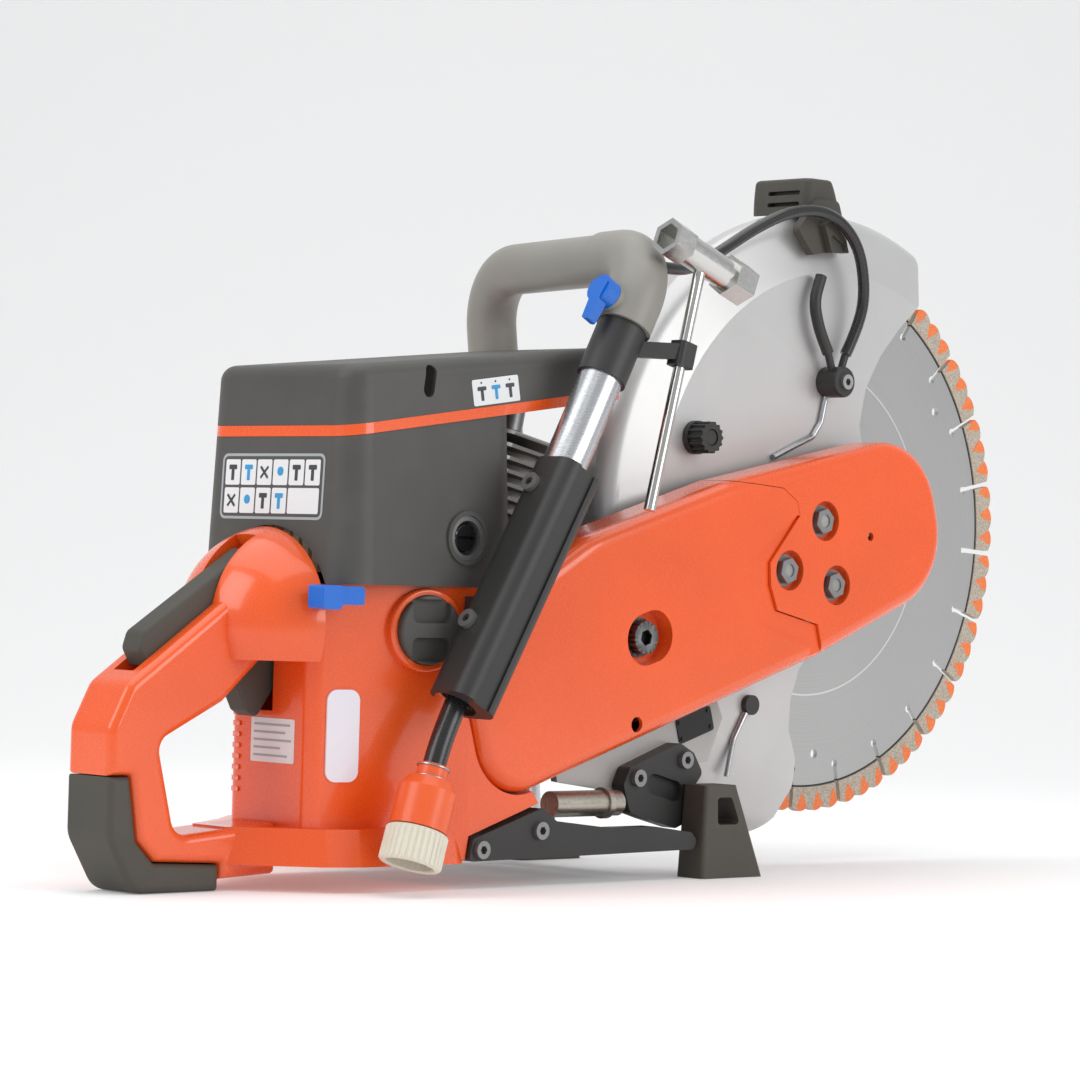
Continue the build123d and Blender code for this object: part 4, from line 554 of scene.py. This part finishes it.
# ---------------------------------------------------------------- labels and small moulded details
FILM_LIFT, FILM_THICK = 0.00005, 0.0002
INK_LIFT, INK_THICK = 0.0003, 0.0001
CELL_LIFT, MARK_LIFT = 0.00042, 0.00056
rear = Face("filter_housing", (-0.244, -0.020, 0.218), (-1, 0, 0), (0, -1, 0))
bm = bmesh.new()
rear.plate(bm, rounded_outline(0.086, 0.036, 0.004), FILM_LIFT, FILM_THICK)
build("rear_label", bm, "label_grey", "machine")
bm = bmesh.new()
rear.plate(bm, rounded_outline(0.083, 0.033, 0.003), 0.00028, INK_THICK)
build("rear_label_field", bm, "charcoal", "machine")
cell_bm, dark_bm, blue_bm = bmesh.new(), bmesh.new(), bmesh.new()
for row in range(2):
    for column in range(6):
        u = -0.0335 + column * 0.0134
        v = 0.0077 - row * 0.0155
        wide = row == 1 and column == 4
        if row == 1 and column == 5:
            continue
        size = 0.0256 if wide else 0.0122
        rear.plate(cell_bm, shifted(rounded_outline(size, 0.0140, 0.001), u + (0.0067 if wide else 0), v),
                   CELL_LIFT, INK_THICK)
        if wide:
            continue
        target = blue_bm if column in (1, 3) else dark_bm
        shape = (row * 6 + column) % 4
        if shape in (0, 1):
            for outline, rise in ((rounded_outline(0.0024, 0.0060, 0.0004), -0.0015),
                                  (rounded_outline(0.0066, 0.0026, 0.0006), 0.0028)):
                rear.plate(target, shifted(outline, u, v + rise), MARK_LIFT, INK_THICK)
        if shape == 2:
            for lean in (-1, 1):
                outline = [(x * 0.7 - lean * y * 0.7, x * 0.7 * lean + y * 0.7) for x, y in
                           rounded_outline(0.0014, 0.0090, 0.0004)]
                rear.plate(target, shifted(outline, u, v), MARK_LIFT + INK_THICK * (lean + 1), INK_THICK)
        if shape == 3:
            outline = rounded_outline(0.0050, 0.0050, 0.0024)
            rear.plate(target, shifted(outline, u, v + 0.0006), MARK_LIFT, INK_THICK)
build("rear_label_cells", cell_bm, "label", "machine")
build("rear_label_marks", dark_bm, "label_dark", "machine")
build("rear_label_blue", blue_bm, "label_blue", "machine")

slope = radians(8.3)
flank = Face("cylinder_cover", (-0.134, -0.080, 0.2755), (0, -1, 0), (cos(slope), 0, sin(slope)))
bm, dark_bm, blue_bm = bmesh.new(), bmesh.new(), bmesh.new()
flank.plate(bm, rounded_outline(0.036, 0.0145, 0.001), FILM_LIFT, FILM_THICK)
for index, u in enumerate((-0.011, 0.0, 0.011)):
    target = blue_bm if index == 1 else dark_bm
    for sheet, outline, v in ((target, rounded_outline(0.0022, 0.0060, 0.0004), -0.0018),
                              (target, rounded_outline(0.0068, 0.0022, 0.0006), 0.0020),
                              (dark_bm, rounded_outline(0.0012, 0.0012, 0.0005), 0.0052)):
        flank.plate(sheet, shifted(outline, u, v), INK_LIFT, INK_THICK)
build("side_label", bm, "label", "machine")
build("side_label_marks", dark_bm, "label_dark", "machine")
build("side_label_blue", blue_bm, "label_blue", "machine")

tank_rear = Face("tank_housing", (-0.248, -0.032, 0.080), (-1, 0, 0), (0, -1, 0))
bm, dark_bm = bmesh.new(), bmesh.new()
tank_rear.plate(bm, rounded_outline(0.036, 0.024, 0.001), FILM_LIFT, FILM_THICK)
for row, width in enumerate((0.030, 0.026, 0.031, 0.022, 0.028)):
    line = rounded_outline(width, 0.0012, 0.0003)
    tank_rear.plate(dark_bm, shifted(line, (width - 0.031) / 2, 0.0085 - row * 0.0042), INK_LIFT, INK_THICK)
build("tank_label", bm, "label", "machine")
build("tank_label_lines", dark_bm, "label_grey", "machine")

bm = bmesh.new()
for rib in range(10):
    tank_rear.plate(bm, shifted(rounded_outline(0.009, 0.0026, 0.0010), -0.0315, -0.028 + rib * 0.0060),
                    -0.0005, 0.0016)
build("tank_ribs", bm, "orange", "machine")

# ---------------------------------------------------------------- set: floor, light, view
SWEEP_START, SWEEP_RADIUS, SWEEP_STEPS, STAGE_REACH = 1.2, 1.6, 12, 6.0


def make_stage():
    """Pale paper that runs along the floor, curves up behind the object and rises as a backdrop."""
    bm = bmesh.new()
    direction = Vector((0.70, 0.72, 0)).normalized()
    across = Vector((direction.y, -direction.x, 0))
    path = [(-STAGE_REACH, 0.0), (SWEEP_START, 0.0)]
    for step in range(1, SWEEP_STEPS + 1):
        angle = radians(90 * step / SWEEP_STEPS)
        path.append((SWEEP_START + SWEEP_RADIUS * sin(angle), SWEEP_RADIUS * (1 - cos(angle))))
    path.append((SWEEP_START + SWEEP_RADIUS, STAGE_REACH))
    rows = []
    for along, rise in path:
        rows.append([bm.verts.new(direction * along + across * side + Vector((0, 0, rise - 0.0002)))
                     for side in (-STAGE_REACH, STAGE_REACH)])
    for a, b in zip(rows, rows[1:]):
        bm.faces.new((a[0], a[1], b[1], b[0]))
    mesh = bpy.data.meshes.new("floor")
    bm.to_mesh(mesh)
    bm.free()
    floor = bpy.data.objects.new("floor", mesh)
    scene.collection.objects.link(floor)
    mesh.shade_smooth()
    n = Nodes("floor_paper")
    n.set(Base_Color=(0.80, 0.80, 0.80, 1), Roughness=0.9, Emission_Color=(1, 1, 1, 1),
          Emission_Strength=0.17)
    mesh.materials.append(n.material)


def soft_light(name, place, target, size, power):
    data = bpy.data.lights.new(name, "AREA")
    data.shape = "RECTANGLE"
    data.size, data.size_y = size
    data.energy = power
    light = bpy.data.objects.new(name, data)
    light.location = place
    light.rotation_euler = (Vector(target) - Vector(place)).to_track_quat("-Z", "Y").to_euler()
    scene.collection.objects.link(light)


make_stage()
soft_light("top", (-0.1, 0.0, 1.9), (0, 0, 0.15), (2.2, 2.2), 21)
soft_light("key", (-1.9, 0.3, 1.3), (0, 0, 0.2), (1.2, 1.4), 15)
soft_light("front", (0.7, -2.1, 0.9), (0, 0, 0.2), (1.4, 1.2), 17)
world = bpy.data.worlds.new("studio")
scene.world = world
world.use_nodes = True
world.node_tree.nodes["Background"].inputs[0].default_value = (0.92, 0.93, 0.95, 1)
world.node_tree.nodes["Background"].inputs[1].default_value = 0.55
scene.view_settings.view_transform = "Standard"
